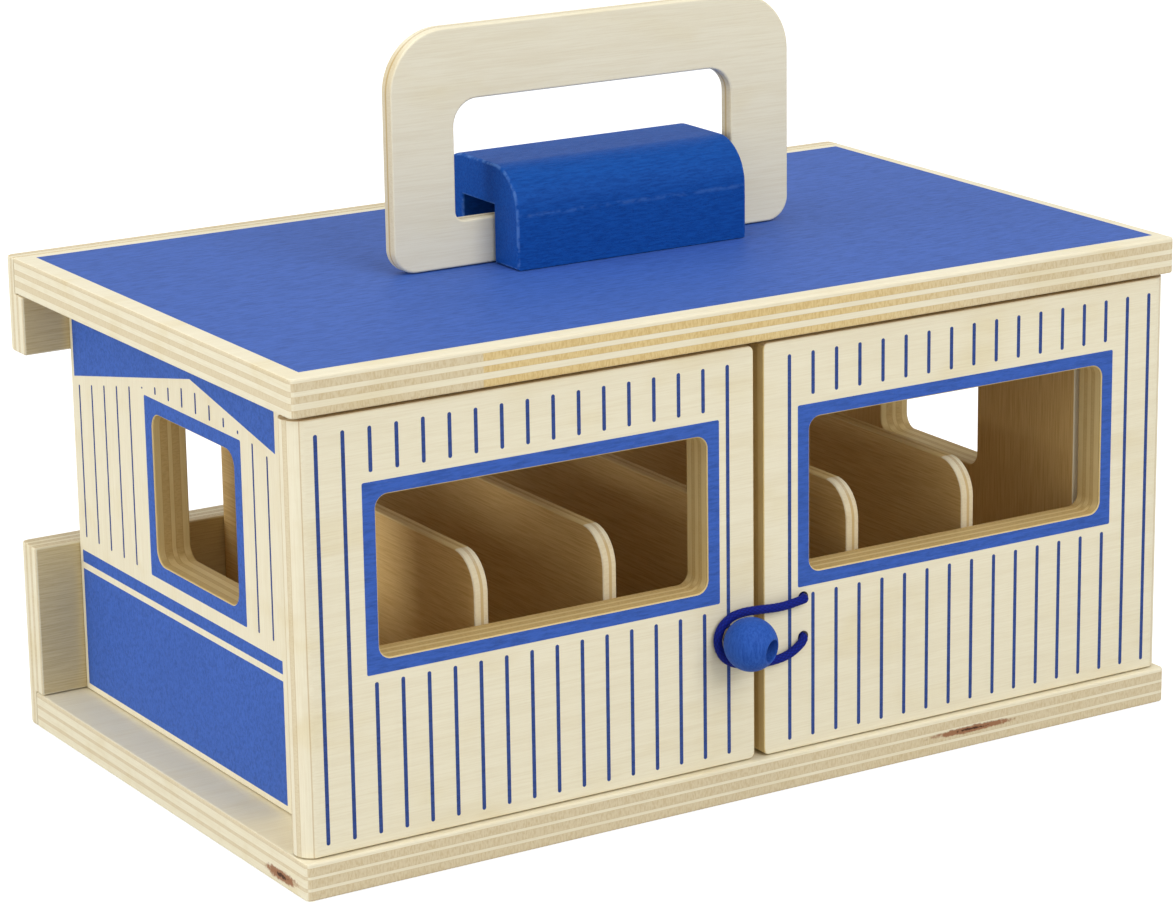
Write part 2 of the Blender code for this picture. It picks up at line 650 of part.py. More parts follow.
def smooth_route(points, steps):
    """Points on a Catmull-Rom curve through the given ones."""
    ends = [points[0] * 2 - points[1]] + points + [points[-1] * 2 - points[-2]]
    route = []
    for before, start, end, after in zip(ends, ends[1:], ends[2:], ends[3:]):
        for step in range(steps):
            t = step / steps
            slope_in = (end - before) / 2
            slope_out = (after - start) / 2
            bend = (start - end) * 2 + slope_in + slope_out
            lift = (end - start) * 3 - slope_in * 2 - slope_out
            route.append(((bend * t + lift) * t + slope_in) * t + start)
    return route + [points[-1]]


def latch_loop(panel, look):
    """The elastic loop, one tube whose ends meet the knot behind the right door."""
    curve = bpy.data.curves.new("latch_loop", "CURVE")
    curve.dimensions = "3D"
    curve.bevel_depth = CORD_RADIUS
    curve.bevel_resolution = CORD_RESOLUTION
    curve.use_fill_caps = True
    middle = Vector((panel.location.x, 0, 0))
    route = smooth_route([Vector(point) - middle for point in LOOP_ROUTE], ROUTE_STEPS)
    spline = curve.splines.new("POLY")
    spline.points.add(len(route) - 1)
    for point, place in zip(spline.points, route):
        point.co = (*place, 1.0)
    curve.materials.append(look)
    loop = bpy.data.objects.new("latch_loop", curve)
    bpy.context.scene.collection.objects.link(loop)
    loop.parent = panel


def loop_knot(panel, look):
    """The knot that keeps the loop from pulling through, with its two short tails."""
    heights = (LOOP_HOLE_HEIGHT_LOW, LOOP_HOLE_HEIGHT_HIGH)
    x = LOOP_HOLE_FROM_FREE_EDGE - FREE_EDGE
    place = (x, HINGE_RADIUS + FIT_GAP + KNOT_RADIUS, DOOR_BOTTOM + sum(heights) / 2)
    mesh = bmesh.new()
    bmesh.ops.create_uvsphere(mesh, u_segments=KNOT_SIDES, v_segments=KNOT_RINGS, radius=KNOT_RADIUS)
    flatten = (1, 1, KNOT_HALF_HEIGHT / KNOT_RADIUS)
    bmesh.ops.scale(mesh, vec=flatten, verts=mesh.verts)
    knot = add_object("loop_knot", mesh, look, panel, place)
    tails = bmesh.new()
    profile = [(CORD_RADIUS, 0), (CORD_RADIUS, KNOT_RADIUS + KNOT_TAIL)]
    for side in (-1, 1):
        direction = Vector((side, 1, 0))
        aim = direction.to_track_quat("Z", "X").to_matrix().to_4x4()
        aim.translation = Vector((side, 0, 0)) * CORD_RADIUS
        add_turned(tails, profile, KNOT_SIDES, aim)
    ends = add_object("loop_knot_tails", tails, parent=knot)
    ends.hide_render = True
    ends.display_type = "WIRE"
    union = knot.modifiers.new("tails", "BOOLEAN")
    union.operation = "UNION"
    union.solver = "EXACT"
    union.object = ends


def build():
    """Makes every piece of the barn."""
    for old in list(bpy.data.objects):
        bpy.data.objects.remove(old, do_unlink=True)
    bare_ply = finish("bare_ply", (0.80, 0.68, 0.50), 0.6)
    thin_ply = finish("thin_ply", (0.84, 0.73, 0.56), 0.6)
    printed_ply = finish("printed_ply", (0.10, 0.16, 0.50), 0.5)
    blue_paint = finish("blue_paint", (0.02, 0.12, 0.45), 0.4)
    steel = finish("steel", (0.60, 0.60, 0.62), 0.35, 1.0)
    birch = finish("birch_dowel", (0.78, 0.64, 0.45), 0.6)
    elastic = finish("elastic", (0.02, 0.02, 0.25), 0.7)
    base_board(bare_ply)
    roof_board(printed_ply)
    rear_fascia(bare_ply)
    low_rear_board(bare_ply)
    side_wall(-1, bare_ply)
    side_wall(1, bare_ply)
    stall_dividers(thin_ply)
    door_left = door(-1, bare_ply)
    door_right = door(1, bare_ply)
    pivot_pins(steel)
    wall_dowels(birch)
    handle(thin_ply)
    handle_block(blue_paint)
    block_screws(steel)
    latch_bead(door_left, blue_paint)
    latch_peg(door_left, birch)
    latch_loop(door_right, elastic)
    loop_knot(door_right, elastic)


build()
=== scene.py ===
"""The looks of a plywood toy barn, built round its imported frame.

Places are in metres in the part's own frame: the origin is the centre of the base's underside,
+X is the right-hand side of someone who faces the doors, the doors face -Y and +Z is up.
"""

import math

import bmesh
import bpy
from mathutils import Matrix, Vector


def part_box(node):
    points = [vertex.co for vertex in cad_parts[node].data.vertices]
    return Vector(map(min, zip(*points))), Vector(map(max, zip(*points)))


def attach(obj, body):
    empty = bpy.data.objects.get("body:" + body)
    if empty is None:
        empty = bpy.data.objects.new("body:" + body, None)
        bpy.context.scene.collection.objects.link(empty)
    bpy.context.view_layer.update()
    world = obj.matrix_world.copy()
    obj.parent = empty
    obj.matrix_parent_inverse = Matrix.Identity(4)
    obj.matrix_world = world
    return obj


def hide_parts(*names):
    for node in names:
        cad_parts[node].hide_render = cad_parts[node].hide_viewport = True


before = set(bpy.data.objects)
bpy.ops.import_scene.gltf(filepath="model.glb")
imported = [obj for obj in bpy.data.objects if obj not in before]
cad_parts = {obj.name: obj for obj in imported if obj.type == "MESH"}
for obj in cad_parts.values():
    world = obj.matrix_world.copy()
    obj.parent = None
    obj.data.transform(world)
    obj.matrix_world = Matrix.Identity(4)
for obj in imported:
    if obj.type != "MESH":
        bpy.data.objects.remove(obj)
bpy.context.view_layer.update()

# The camera that was fitted to the photograph
SENSOR = 36.0
CAMERA_PLACE = (-0.6965, -1.1326, 0.46179)
CAMERA_YAW = math.radians(-32.954)
CAMERA_PITCH = math.radians(15.762)
CAMERA_ROLL = math.radians(-0.45)
CAMERA_LENS = 126.536
CAMERA_SHIFT = (-0.08785, 0.01199)

# Boards: the arris that every edge has, and the steps of round shapes
ARRIS = 0.0006
ARRIS_STEPS = 3
CORNER_STEPS = 10
ROUND_STEPS = 24
NEARLY = 0.0001
SMOOTH_ANGLE = math.radians(38)

# Printed ink: how deep it sits in the wood and how far it stands out of it
INK_DEPTH = 0.00002
INK_HEIGHT = 0.00004

# Streaks and marks: their length along the grain and their width, and how high the grain stands
FACE_STREAK = (0.016, 0.00045)
BROAD_STREAK = (0.050, 0.005)
WOOD_FLECK = (0.0020, 0.00022)
END_MARK = (0.0016, 0.00045)
TURNED_STREAK = (0.015, 0.0005)
INK_STREAK = (0.006, 0.0009)
WALL_INK_STREAK = (0.0012, 0.0009)
INK_FLECK = (0.0018, 0.00025)
PAINT_STREAK = (0.005, 0.0007)
PAINT_PORE = (0.0012, 0.00028)
FINE_RELIEF = 0.00006
PAINT_RELIEF = 0.00008
STEEL_RELIEF = 0.00002

# Plies in metres, from the board's top, front or outer face inwards
ROOF_PLIES = (0.0014, 0.0024, 0.0016, 0.0020, 0.0021, 0.0025)
BASE_PLIES = (0.0014, 0.0027, 0.0010, 0.0028, 0.0011, 0.0030)
DOOR_PLIES = (0.0006, 0.0028, 0.0016, 0.0022, 0.0016, 0.0026, 0.0006)
WALL_PLIES = (0.0027, 0.0025, 0.0016, 0.0025, 0.0027)
REAR_PLIES = (0.0012, 0.0026, 0.0014, 0.0022, 0.0014, 0.0026, 0.0006)
DIVIDER_PLIES = (0.0022, 0.0010, 0.0022)
HANDLE_PLIES = (0.0026, 0.0009, 0.0025)

# Dividers: how many, and the upper front corner's radius; their edges stay pale up to it, and behind it
# they get painted shade
DIVIDERS = 5
DIVIDER_RADIUS = 0.012

# Knots in the base's edges: their middle from its lower front left corner, reach and strength
BASE_KNOTS = [
    ((0, 0.017, 0.0035), (0.003, 0.012, 0.0022), 0.9),
    ((0.248, 0, 0.0062), (0.020, 0.002, 0.0014), 0.9),
]

# Bores: the gap round what stands in them, and the turn that lays one along Y
BORE_GAP = 0.0003
ALONG_Y = Matrix.Rotation(-math.pi / 2, 4, "X")

# Doors: corner radius, window opening and the holes for loop and pins
DOOR_CORNER_RADIUS = 0.002
DOOR_STILE = 0.0177
DOOR_WINDOW_SIZE = (0.1172, 0.0508)
DOOR_WINDOW_SILL = 0.0587
DOOR_WINDOW_RADIUS = 0.004
LOOP_HOLE_RADIUS = 0.002
PIN_HOLE_DEPTH = 0.0123

# Door print: a frame round the window and upright stripes
FRAME_LINE = 0.0046
FRAME_CORNER_RADIUS = 0.0006
FRAME_LIP = 0.0004
PRINT_CORNER_STEPS = 4
STRIPE_END_SHARE = 0.98
STRIPE_WIDTH = 0.0013
STRIPE_PITCH = 0.00903
STRIPES = 17
STRIPE_GAP_OVER_FRAME = 0.0030
STRIPE_GAP_UNDER_FRAME = 0.0024
STRIPE_BOTTOM_RISE = 0.0034
STRIPE_TOP_DROP = 0.0047
STRIPE_FROM_FREE_EDGE = 0.0099
WHOLE_STRIPES = (0, 15, 16)

# Side walls: window opening, gable lines, band, panel and stripes, as Y and Z
WALL_WINDOW_LOW = (-0.0296, 0.0714)
WALL_WINDOW_HIGH = (0.0276, 0.1216)
WALL_WINDOW_RADIUS = 0.005
WALL_FRAME_LINE = 0.005
WALL_PRINT_FRONT = -0.0578
WALL_PRINT_MARGIN = 0.0024
GABLE_APEX = (-0.0011, 0.1389)
GABLE_SLOPE = 0.20
BAND_HEIGHTS = (0.0575, 0.0617)
PANEL_HEIGHTS = (0.0146, 0.0552)
WALL_STRIPE_WIDTH = 0.0009
WALL_STRIPE_PITCH = 0.00957
WALL_STRIPE_FIRST = -0.0523
WALL_STRIPES = 15
WALL_STRIPE_BOTTOM = 0.0668
WALL_STRIPE_TOP_GAP = 0.003
WALL_STRIPE_OVER_WINDOW = 0.1283
WALL_DOWELS = 4

# Roof print: how far it stays from each edge of the roof
ROOF_MARGIN_LEFT = 0.0066
ROOF_MARGIN_RIGHT = 0.0042
ROOF_MARGIN_FRONT = 0.0069
ROOF_MARGIN_REAR = 0.004

# The stretch of X where the roof's front edge is orange: where it starts and fades again
ROOF_WARM_STRETCH = (-0.1003, -0.1000, 0.020, 0.120)

# Handle and its block
HANDLE_ARRIS = 0.0008
HANDLE_TOP_RADIUS = 0.020
HANDLE_BOTTOM_RADIUS = 0.008
GRIP_SIZE = (0.106, 0.0392)
GRIP_RISE = 0.0152
GRIP_TOP_RADIUS = 0.0087
GRIP_BOTTOM_RADIUS = 0.003
BLOCK_ARRIS = 0.001
BLOCK_ROUNDING = 0.015
BLOCK_LEG = 0.015
BLOCK_CREASE = 0.0012
# How strongly the crease where the block's front starts to round is painted pale, as a painted highlight
CREASE_HIGHLIGHT = 0.5
CHANNEL_HEIGHT = 0.0191

# Bead, its bore and the cord of the loop
BEAD_RADIUS = 0.00865
BEAD_BORE_RADIUS = 0.0036
BEAD_BORE_DEPTH = 0.008
BEAD_BORE_TURN = math.radians(27)
BEAD_BORE_DIP = math.radians(8)
BEAD_RIM = 0.0004
BEAD_POLE_TURN = 0.03
BEAD_SIDES = 96
BEAD_ARC_STEPS = 48
CORD_RADIUS = 0.00145
CORD_SIDES = 48
CORD_STEPS = 16
BRAID_STRANDS = 8
BRAID_LAY = 0.0075
BRAID_RELIEF = 0.00007

# Knot behind the door: its wraps, as tilt and turn in radians, and its two tails
KNOT_WRAPS = [(0.0, 0.0), (0.9, 0.6), (-0.9, -0.6)]
KNOT_WRAP_RADIUS = 0.0021
KNOT_WRAP_POINTS = 13
KNOT_WRAP_CORD_SHARE = 0.75
KNOT_TAIL_CORD_SHARE = 0.97
KNOT_TAIL_START = 0.0012
KNOT_TAIL_LENGTH = 0.0108
KNOT_TAIL_POINTS = 5

# The loop's centre line from the knot's top, out through the right door, round the peg and back:
# X from the barn's middle, Y from the doors' middle plane and Z from the base's underside
LOOP_ROUTE = [
    (0.0169, 0.0100, 0.0599), (0.0169, 0.0091, 0.0621), (0.0169, 0.0069, 0.0630),
    (0.0169, 0.0008, 0.0630), (0.0169, -0.0048, 0.0630), (0.0165, -0.0069, 0.0630),
    (0.0151, -0.0078, 0.0629), (0.0070, -0.0078, 0.0621), (-0.0015, -0.0078, 0.0626),
    (-0.0068, -0.0078, 0.0628), (-0.0114, -0.0078, 0.0621), (-0.0148, -0.0078, 0.0600),
    (-0.0166, -0.0078, 0.0572), (-0.0169, -0.0078, 0.0543), (-0.0159, -0.0078, 0.0510),
    (-0.0137, -0.0078, 0.0483), (-0.0100, -0.0078, 0.0463), (-0.0040, -0.0078, 0.0450),
    (0.0030, -0.0078, 0.0446), (0.0093, -0.0078, 0.0454), (0.0138, -0.0078, 0.0476),
    (0.0163, -0.0070, 0.0494), (0.0169, -0.0048, 0.0498), (0.0169, 0.0008, 0.0498),
    (0.0169, 0.0069, 0.0498), (0.0169, 0.0091, 0.0507), (0.0169, 0.0100, 0.0529),
]

# Floor: half its side, how far it lies under the barn, its tone and its glow to the camera
FLOOR_HALF = 4.0
FLOOR_DROP = 0.0002
FLOOR_TONE = (0.6, 0.6, 0.6, 1.0)
FLOOR_GLOW = 0.75

# Light: the world's level, each lamp's place, size and power, and the point that they face
WHITE = (1.0, 1.0, 1.0, 1.0)
WORLD_LEVEL = 0.50
LAMPS = {
    "front": ((0.3, -2.0, 1.5), 1.4, 25),
    "left": ((-2.2, 0.3, 0.8), 1.2, 23),
    "top": ((-0.2, -0.2, 2.2), 1.4, 10),
}
LAMP_AIM = Vector((0, 0, 0.08))


def make_camera():
    """The camera at the photograph's place, with the little shift that its framing needs."""
    lens = bpy.data.cameras.new("camera")
    lens.sensor_fit = "HORIZONTAL"
    lens.sensor_width = SENSOR
    lens.lens = CAMERA_LENS
    lens.shift_x, lens.shift_y = CAMERA_SHIFT
    camera = bpy.data.objects.new("camera", lens)
    turn = Matrix.Rotation(CAMERA_YAW, 4, "Z")
    tilt = Matrix.Rotation(math.pi / 2 - CAMERA_PITCH, 4, "X")
    roll = Matrix.Rotation(CAMERA_ROLL, 4, "Z")
    camera.matrix_world = Matrix.Translation(CAMERA_PLACE) @ turn @ tilt @ roll
    bpy.context.scene.collection.objects.link(camera)
    bpy.context.scene.camera = camera


def srgb(red, green, blue):
    """A colour as a picture shows it, from 0 to 255, in the linear values that nodes take."""

    def linear(value):
        share = value / 255
        return share / 12.92 if share <= 0.04045 else ((share + 0.055) / 1.055) ** 2.4

    return (linear(red), linear(green), linear(blue), 1.0)


# Node graphs


class Tree:
    """Short calls for the nodes of a material or a world."""

    def __init__(self, owner):
        owner.use_nodes = True
        self.tree = owner.node_tree

    def feed(self, socket, value):
        """Links a socket to another one, or gives it a value."""
        if isinstance(value, bpy.types.NodeSocket):
            self.tree.links.new(value, socket)
        else:
            socket.default_value = value

    def node(self, kind, *values, **settings):
        """A node with these settings, whose first sockets are fed with these values."""
        made = self.tree.nodes.new("ShaderNode" + kind)
        for name, value in settings.items():
            setattr(made, name, value)
        for socket, value in zip(made.inputs, values):
            self.feed(socket, value)
        return made

    def math(self, operation, *values):
        return self.node("Math", *values, operation=operation).outputs[0]


class Graph(Tree):
    """A material and short calls for the nodes that the looks below are made of."""

    def __init__(self, name):
        self.material = bpy.data.materials.new(name)
        super().__init__(self.material)
        self.shader = self.tree.nodes["Principled BSDF"]
        self.place = self.node("TexCoord").outputs["Object"]
        self.normal = self.node("TexCoord").outputs["Normal"]

    def times(self, one, other):
        return self.math("MULTIPLY", one, other)

    def minus(self, one, other):
        return self.math("SUBTRACT", one, other)

    def axis(self, vector, letter):
        """One of a vector's three numbers."""
        return self.node("SeparateXYZ", vector).outputs[letter]

    def mix(self, factor, one, other, blend="MIX"):
        """A colour between two colours."""
        made = self.node("Mix", factor, data_type="RGBA", blend_type=blend)
        self.feed(made.inputs[6], one)
        self.feed(made.inputs[7], other)
        return made.outputs[2]

    def over(self, colour, other, mask, strength, blend="MIX"):
        """A colour with another one laid over it, as strongly as the mask says."""
        return self.mix(self.times(mask, strength), colour, other, blend)

    def between(self, factor, one, other):
        """A number between two numbers."""
        made = self.node("Mix", factor, data_type="FLOAT")
        self.feed(made.inputs[2], one)
        self.feed(made.inputs[3], other)
        return made.outputs[0]

    def step(self, value, low, high):
        """0 below low, 1 above high, and a smooth step between."""
        made = self.node("MapRange", value, low, high, 0.0, 1.0, interpolation_type="SMOOTHSTEP")
        return made.outputs[0]

    def noise(self, scales, seed, detail=3.0, roughness=0.5, distortion=0.0):
        """Noise whose grains are 1 / scale long along each axis."""
        moved = self.node("Mapping", self.place)
        moved.inputs["Scale"].default_value = scales
        moved.inputs["Location"].default_value = (seed * 7.3, seed * 3.1, seed * 5.7)
        made = self.node("TexNoise", moved.outputs[0])
        settings = {"Scale": 1.0, "Detail": detail, "Roughness": roughness, "Distortion": distortion}
        for name, value in settings.items():
            made.inputs[name].default_value = value
        return made.outputs["Fac"]

    def grain(self, along, streak, seed, **settings):
        """Noise for grain that runs along one axis, in streaks of a length and a width."""
        long, fine = streak
        scales = tuple(1 / (long if letter == along else fine) for letter in "XYZ")
        return self.noise(scales, seed, **settings)

    def ramp(self, value, stops):
        """A curve through (place, number) stops, as a grey value."""
        made = self.node("ValToRGB", value)
        elements = made.color_ramp.elements
        while len(elements) < len(stops):
            elements.new(1.0)
        for element, (place, number) in zip(elements, stops):
            element.position = place
            element.color = (number, number, number, 1.0)
        return made.outputs[0]

    def bump(self, height, distance, strength):
        made = self.node("Bump")
        made.inputs["Strength"].default_value = strength
        made.inputs["Distance"].default_value = distance
        self.feed(made.inputs["Height"], height)
        self.feed(self.shader.inputs["Normal"], made.outputs[0])

    def finish(self, colour, roughness, specular=0.5):
        """Gives the shader its colour, roughness and specular level."""
        self.feed(self.shader.inputs["Base Color"], colour)
        self.feed(self.shader.inputs["Roughness"], roughness)
        self.shader.inputs["Specular IOR Level"].default_value = specular
        return self.material


# Inks
FRAME_INK = srgb(64, 102, 190)
FIELD_INK = srgb(68, 106, 192)
ROOF_INK = srgb(64, 101, 184)
STRIPE_INK = srgb(58, 82, 148)
WALL_STRIPE_INK = srgb(56, 74, 138)

# Paint: its pale and dark tone and the tone of its pores, and its tone where it is worn, which is also the
# painted highlight along the block's crease
BLOCK_TONES = (srgb(20, 82, 166), srgb(10, 66, 144), srgb(4, 44, 114))
BEAD_TONES = (srgb(52, 96, 184), srgb(36, 78, 164), srgb(26, 60, 140))
WORN_AND_HIGHLIT_PAINT = srgb(96, 138, 200)

# Wood
PALE_WOOD = srgb(243, 235, 208)
PALE_STREAK = srgb(231, 219, 187)
END_WOOD = srgb(224, 209, 175)
END_DARK = srgb(212, 193, 154)
WARM_END = srgb(228, 203, 146)
WARM_DARK = srgb(214, 184, 124)
GLUE = srgb(186, 148, 92)
WARM_WOOD = srgb(238, 226, 190)
# Painted shade: darker, warmer veneer tones for the faces inside the barn and for the rear boards' front
# faces
SHADED_INNER_WOOD = srgb(226, 194, 132)
SHADED_INNER_STREAK = srgb(202, 164, 98)
SHADED_REAR_WOOD = srgb(228, 212, 168)
SHADED_REAR_STREAK = srgb(208, 188, 140)
CORE_WOOD = srgb(204, 178, 128)
# Painted shade: a yellower brown multiplied onto the edges of windows and of other places in shade
REVEAL_SHADE = srgb(240, 224, 184)
KNOT_WOOD = srgb(150, 96, 62)
PIT_WOOD = srgb(62, 36, 24)

# How strong the glue lines of the doors and side walls are
WALL_GLUE = 0.7

# Veneers of painted shade that differ from the outer one: on the far face or on both, with their two tones
SHADED_INNER_VENEER = ("far", SHADED_INNER_WOOD, SHADED_INNER_STREAK)
SHADED_REAR_VENEER = ("far", SHADED_REAR_WOOD, SHADED_REAR_STREAK)
SHADED_DIVIDER_VENEER = ("both", SHADED_INNER_WOOD, SHADED_INNER_STREAK)


def ply_stops(plies, soft):
    """Ramp stops that are 0 in the outer ply and every second one after it, and 1 in the others."""
    total = sum(plies)
    stops = [(0.0, 0.0)]
    depth = 0.0
    for number, ply in enumerate(plies[:-1]):
        depth += ply
        stops.append((depth / total - soft, float(number % 2)))
        stops.append((depth / total + soft, float((number + 1) % 2)))
    return stops


def glue_stops(plies, soft):
    """Ramp stops that peak at the joints between plies."""
    total = sum(plies)
    stops = []
    depth = 0.0
    for ply in plies[:-1]:
        depth += ply
        stops += [(depth / total - soft, 0.0), (depth / total, 1.0), (depth / total + soft, 0.0)]
    return stops


def plywood(name, plies, across, start, grains, seed, shade_veneer=None, core=None, warm=None, shaded_openings=(),
            patches=(), glued=0.4):
    """Plywood: veneer on its faces, and plies of side grain and end grain in turn on its edges.

    across is the axis of its thickness with the direction in which the plies run from start, and
    grains are the grain axes of the outer plies and of the plies between. shade_veneer is a darker,
    warmer veneer of painted shade for faces that lie in shade, core is the tone of the plies between,
    warm is the stretch of X in which the end grain is orange, shaded_openings are the middles and
    reaches of windows and other places whose edges get painted shade in a yellower brown, patches
    are knots, and glued is how strong the glue lines are.
    """
    graph = Graph(name)
    letter, sign = across[-1], -1 if across[0] == "-" else 1
    face_grain, cross_grain = grains
    level = graph.times(graph.minus(graph.axis(graph.place, letter), start), sign / sum(plies))
    wave = graph.noise((9.0, 9.0, 9.0), seed + 4, detail=1.0)
    share = graph.math("ADD", level, graph.times(graph.minus(wave, 0.5), 0.03))
    crossed = graph.ramp(share, ply_stops(plies, 0.006))
    glue = graph.ramp(share, glue_stops(plies, 0.010))

    squares = [graph.math("POWER", graph.axis(graph.normal, axis), 2.0) for axis in grains]
    ended = graph.step(graph.between(crossed, *squares), 0.25, 0.75)
    edge = graph.step(graph.math("ABSOLUTE", graph.axis(graph.normal, letter)), 0.98, 0.90)

    faces = graph.grain(face_grain, FACE_STREAK, seed, detail=4.0, roughness=0.65, distortion=0.2)
    crosses = graph.grain(cross_grain, FACE_STREAK, seed + 1, detail=4.0, roughness=0.65)
    streak = graph.between(crossed, faces, crosses)
    streaks = graph.step(streak, 0.34, 0.74)
    broad = graph.step(graph.grain(face_grain, BROAD_STREAK, seed + 6), 0.45, 0.75)
    flecks = graph.step(graph.grain(face_grain, WOOD_FLECK, seed + 2, detail=2.0), 0.60, 0.78)
    clouds = graph.step(graph.noise((26.0, 60.0, 60.0), seed + 3), 0.50, 0.80)
    sawn = graph.grain(letter, END_MARK, seed + 5)
    marks = graph.step(sawn, 0.38, 0.68)

    side = graph.over(PALE_WOOD, PALE_STREAK, streaks, 0.60)
    side = graph.over(side, PALE_STREAK, broad, 0.35)
    side = graph.over(side, END_DARK, flecks, 0.12)
    end = graph.mix(marks, END_WOOD, END_DARK)
    end = graph.over(end, PALE_STREAK, graph.minus(1.0, crossed), 0.45)
    if warm:
        here = graph.axis(graph.place, "X")
        stretch = graph.times(graph.step(here, warm[0], warm[1]), graph.step(here, warm[3], warm[2]))
        end = graph.over(end, graph.mix(marks, WARM_END, WARM_DARK), stretch, crossed)
    if core:
        side = graph.over(side, core, crossed, edge)
    colour = graph.mix(ended, side, end)
    colour = graph.over(colour, WARM_WOOD, clouds, 0.35, "MULTIPLY")
    colour = graph.over(colour, GLUE, graph.times(glue, edge), glued)
    # Painted shade: a darker, warmer veneer on the faces that lie in shade
    if shade_veneer:
        where, pale, dark = shade_veneer
        facing = graph.minus(1.0, edge)
        if where == "far":
            facing = graph.times(facing, graph.step(level, 0.90, 0.95))
        veneer = graph.over(graph.mix(streaks, pale, dark), GLUE, flecks, 0.25)
        colour = graph.mix(facing, colour, veneer)
    # Painted shade on the edges of windows and of the other listed openings
    for cut in shaded_openings:
        within = edge
        for axis, middle, reach in zip(grains, *cut):
            away = graph.math("ABSOLUTE", graph.minus(graph.axis(graph.place, axis), middle))
            within = graph.times(within, graph.step(away, reach + ARRIS * 1.5, reach + ARRIS / 2))
        colour = graph.mix(within, colour, REVEAL_SHADE, "MULTIPLY")
    for patch in patches:
        colour = knot_patch(graph, colour, seed, *patch)
    height = graph.math("ADD", graph.times(streak, 0.6), graph.times(sawn, ended))
    graph.bump(height, FINE_RELIEF, 0.4)
    return graph.finish(colour, graph.between(streak, 0.52, 0.68), 0.2)


def knot_patch(graph, colour, seed, centre, radii, strength):
    """A brown patch with a dark pit, where a core ply has a knot or a void."""
    moved = graph.node("Mapping", graph.place, vector_type="TEXTURE")
    moved.inputs["Location"].default_value = centre
    moved.inputs["Scale"].default_value = radii
    reach = graph.node("VectorMath", moved.outputs[0], operation="LENGTH")
    ragged = graph.times(graph.noise((700.0, 700.0, 900.0), seed + 8), 0.9)
    distance = graph.math("ADD", reach.outputs["Value"], ragged)
    colour = graph.over(colour, KNOT_WOOD, graph.step(distance, 1.45, 1.05), strength)
    return graph.over(colour, PIT_WOOD, graph.step(distance, 0.78, 0.62), strength)


def printed(name, ink, seed, grain="X", streak=INK_STREAK):
    """Matte ink on veneer, whose grain shows through a little."""
    graph = Graph(name)
    grain_lines = graph.grain(grain, streak, seed, detail=5.0, roughness=0.75)
    flecks = graph.step(graph.grain(grain, INK_FLECK, seed + 1, detail=2.0), 0.58, 0.80)
    clouds = graph.step(graph.noise((18.0, 30.0, 30.0), seed + 2), 0.45, 0.80)
    dark = tuple(value * 0.66 for value in ink[:3]) + (1.0,)
    pale = tuple(value * 0.75 + 0.25 * wood for value, wood in zip(ink[:3], PALE_WOOD)) + (1.0,)
    colour = graph.mix(graph.step(grain_lines, 0.38, 0.72), ink, dark)
    colour = graph.over(colour, pale, flecks, 0.16)
    colour = graph.over(colour, dark, clouds, 0.18)
    graph.bump(grain_lines, FINE_RELIEF, 0.4)
    return graph.finish(colour, graph.between(grain_lines, 0.48, 0.64), 0.1)


def blue_paint(name, tones, seed, grain="X"):
    """Blue paint on solid wood, with open grain, paler where the piece is worn, and with a painted
    highlight where it is marked for one.
    """
    graph = Graph(name)
    pale, dark, pore = tones
    grain_lines = graph.grain(grain, PAINT_STREAK, seed, detail=5.0, roughness=0.7)
    pores = graph.step(graph.grain(grain, PAINT_PORE, seed + 1), 0.52, 0.72)
    clouds = graph.step(graph.noise((40.0, 90.0, 90.0), seed + 2, detail=2.0), 0.42, 0.75)
    patchy = graph.step(graph.noise((260.0, 420.0, 420.0), seed + 3, detail=4.0), 0.36, 0.62)
    wear_and_highlight = graph.node("Attribute", attribute_name="wear_and_highlight").outputs["Fac"]
    colour = graph.mix(graph.step(grain_lines, 0.35, 0.68), pale, dark)
    colour = graph.over(colour, dark, clouds, 0.15)
    colour = graph.over(colour, pore, pores, 0.35)
    # Worn arrises, and the painted highlight along the block's crease
    colour = graph.over(colour, WORN_AND_HIGHLIT_PAINT, graph.times(wear_and_highlight, patchy), 0.50)
    graph.bump(graph.minus(graph.times(grain_lines, 0.7), pores), PAINT_RELIEF, 0.5)
    return graph.finish(colour, graph.between(grain_lines, 0.44, 0.60), 0.08)


def elastic_cord(name):
    """Navy yarn round an elastic core, with a painted highlight on the crowns of its braid and painted
    shade between them.
    """
    graph = Graph(name)
    crown = graph.node("Attribute", attribute_name="crown").outputs["Fac"]
    fibres = graph.noise((5200.0, 5200.0, 5200.0), 3)
    # Painted highlight on the braid's crowns and painted shade in its hollows
    colour = graph.mix(crown, srgb(6, 14, 92), srgb(16, 36, 146))
    colour = graph.over(colour, srgb(48, 72, 176), graph.step(fibres, 0.40, 0.75), 0.2)
    graph.shader.inputs["Sheen Weight"].default_value = 0.03
    graph.shader.inputs["Sheen Roughness"].default_value = 0.4
    graph.bump(fibres, FINE_RELIEF, 0.6)
    return graph.finish(colour, graph.between(fibres, 0.55, 0.75), 0.1)


def steel(name):
    """Plain steel with fine lathe marks."""
    graph = Graph(name)
    marks = graph.noise((400.0, 400.0, 9000.0), 2, detail=2.0)
    colour = graph.mix(marks, srgb(188, 188, 192), srgb(150, 150, 156))
    graph.shader.inputs["Metallic"].default_value = 1.0
    graph.bump(marks, STEEL_RELIEF, 0.5)
    return graph.finish(colour, graph.between(marks, 0.25, 0.42))


def turned_wood(name, grain):
    """Bare hardwood of dowels and the peg."""
    graph = Graph(name)
    grain_lines = graph.grain(grain, TURNED_STREAK, 5, detail=5.0, roughness=0.6)
    colour = graph.mix(graph.step(grain_lines, 0.35, 0.70), srgb(226, 206, 164), srgb(196, 168, 118))
    graph.bump(grain_lines, FINE_RELIEF, 0.5)
    return graph.finish(colour, graph.between(grain_lines, 0.55, 0.70))


# Shapes


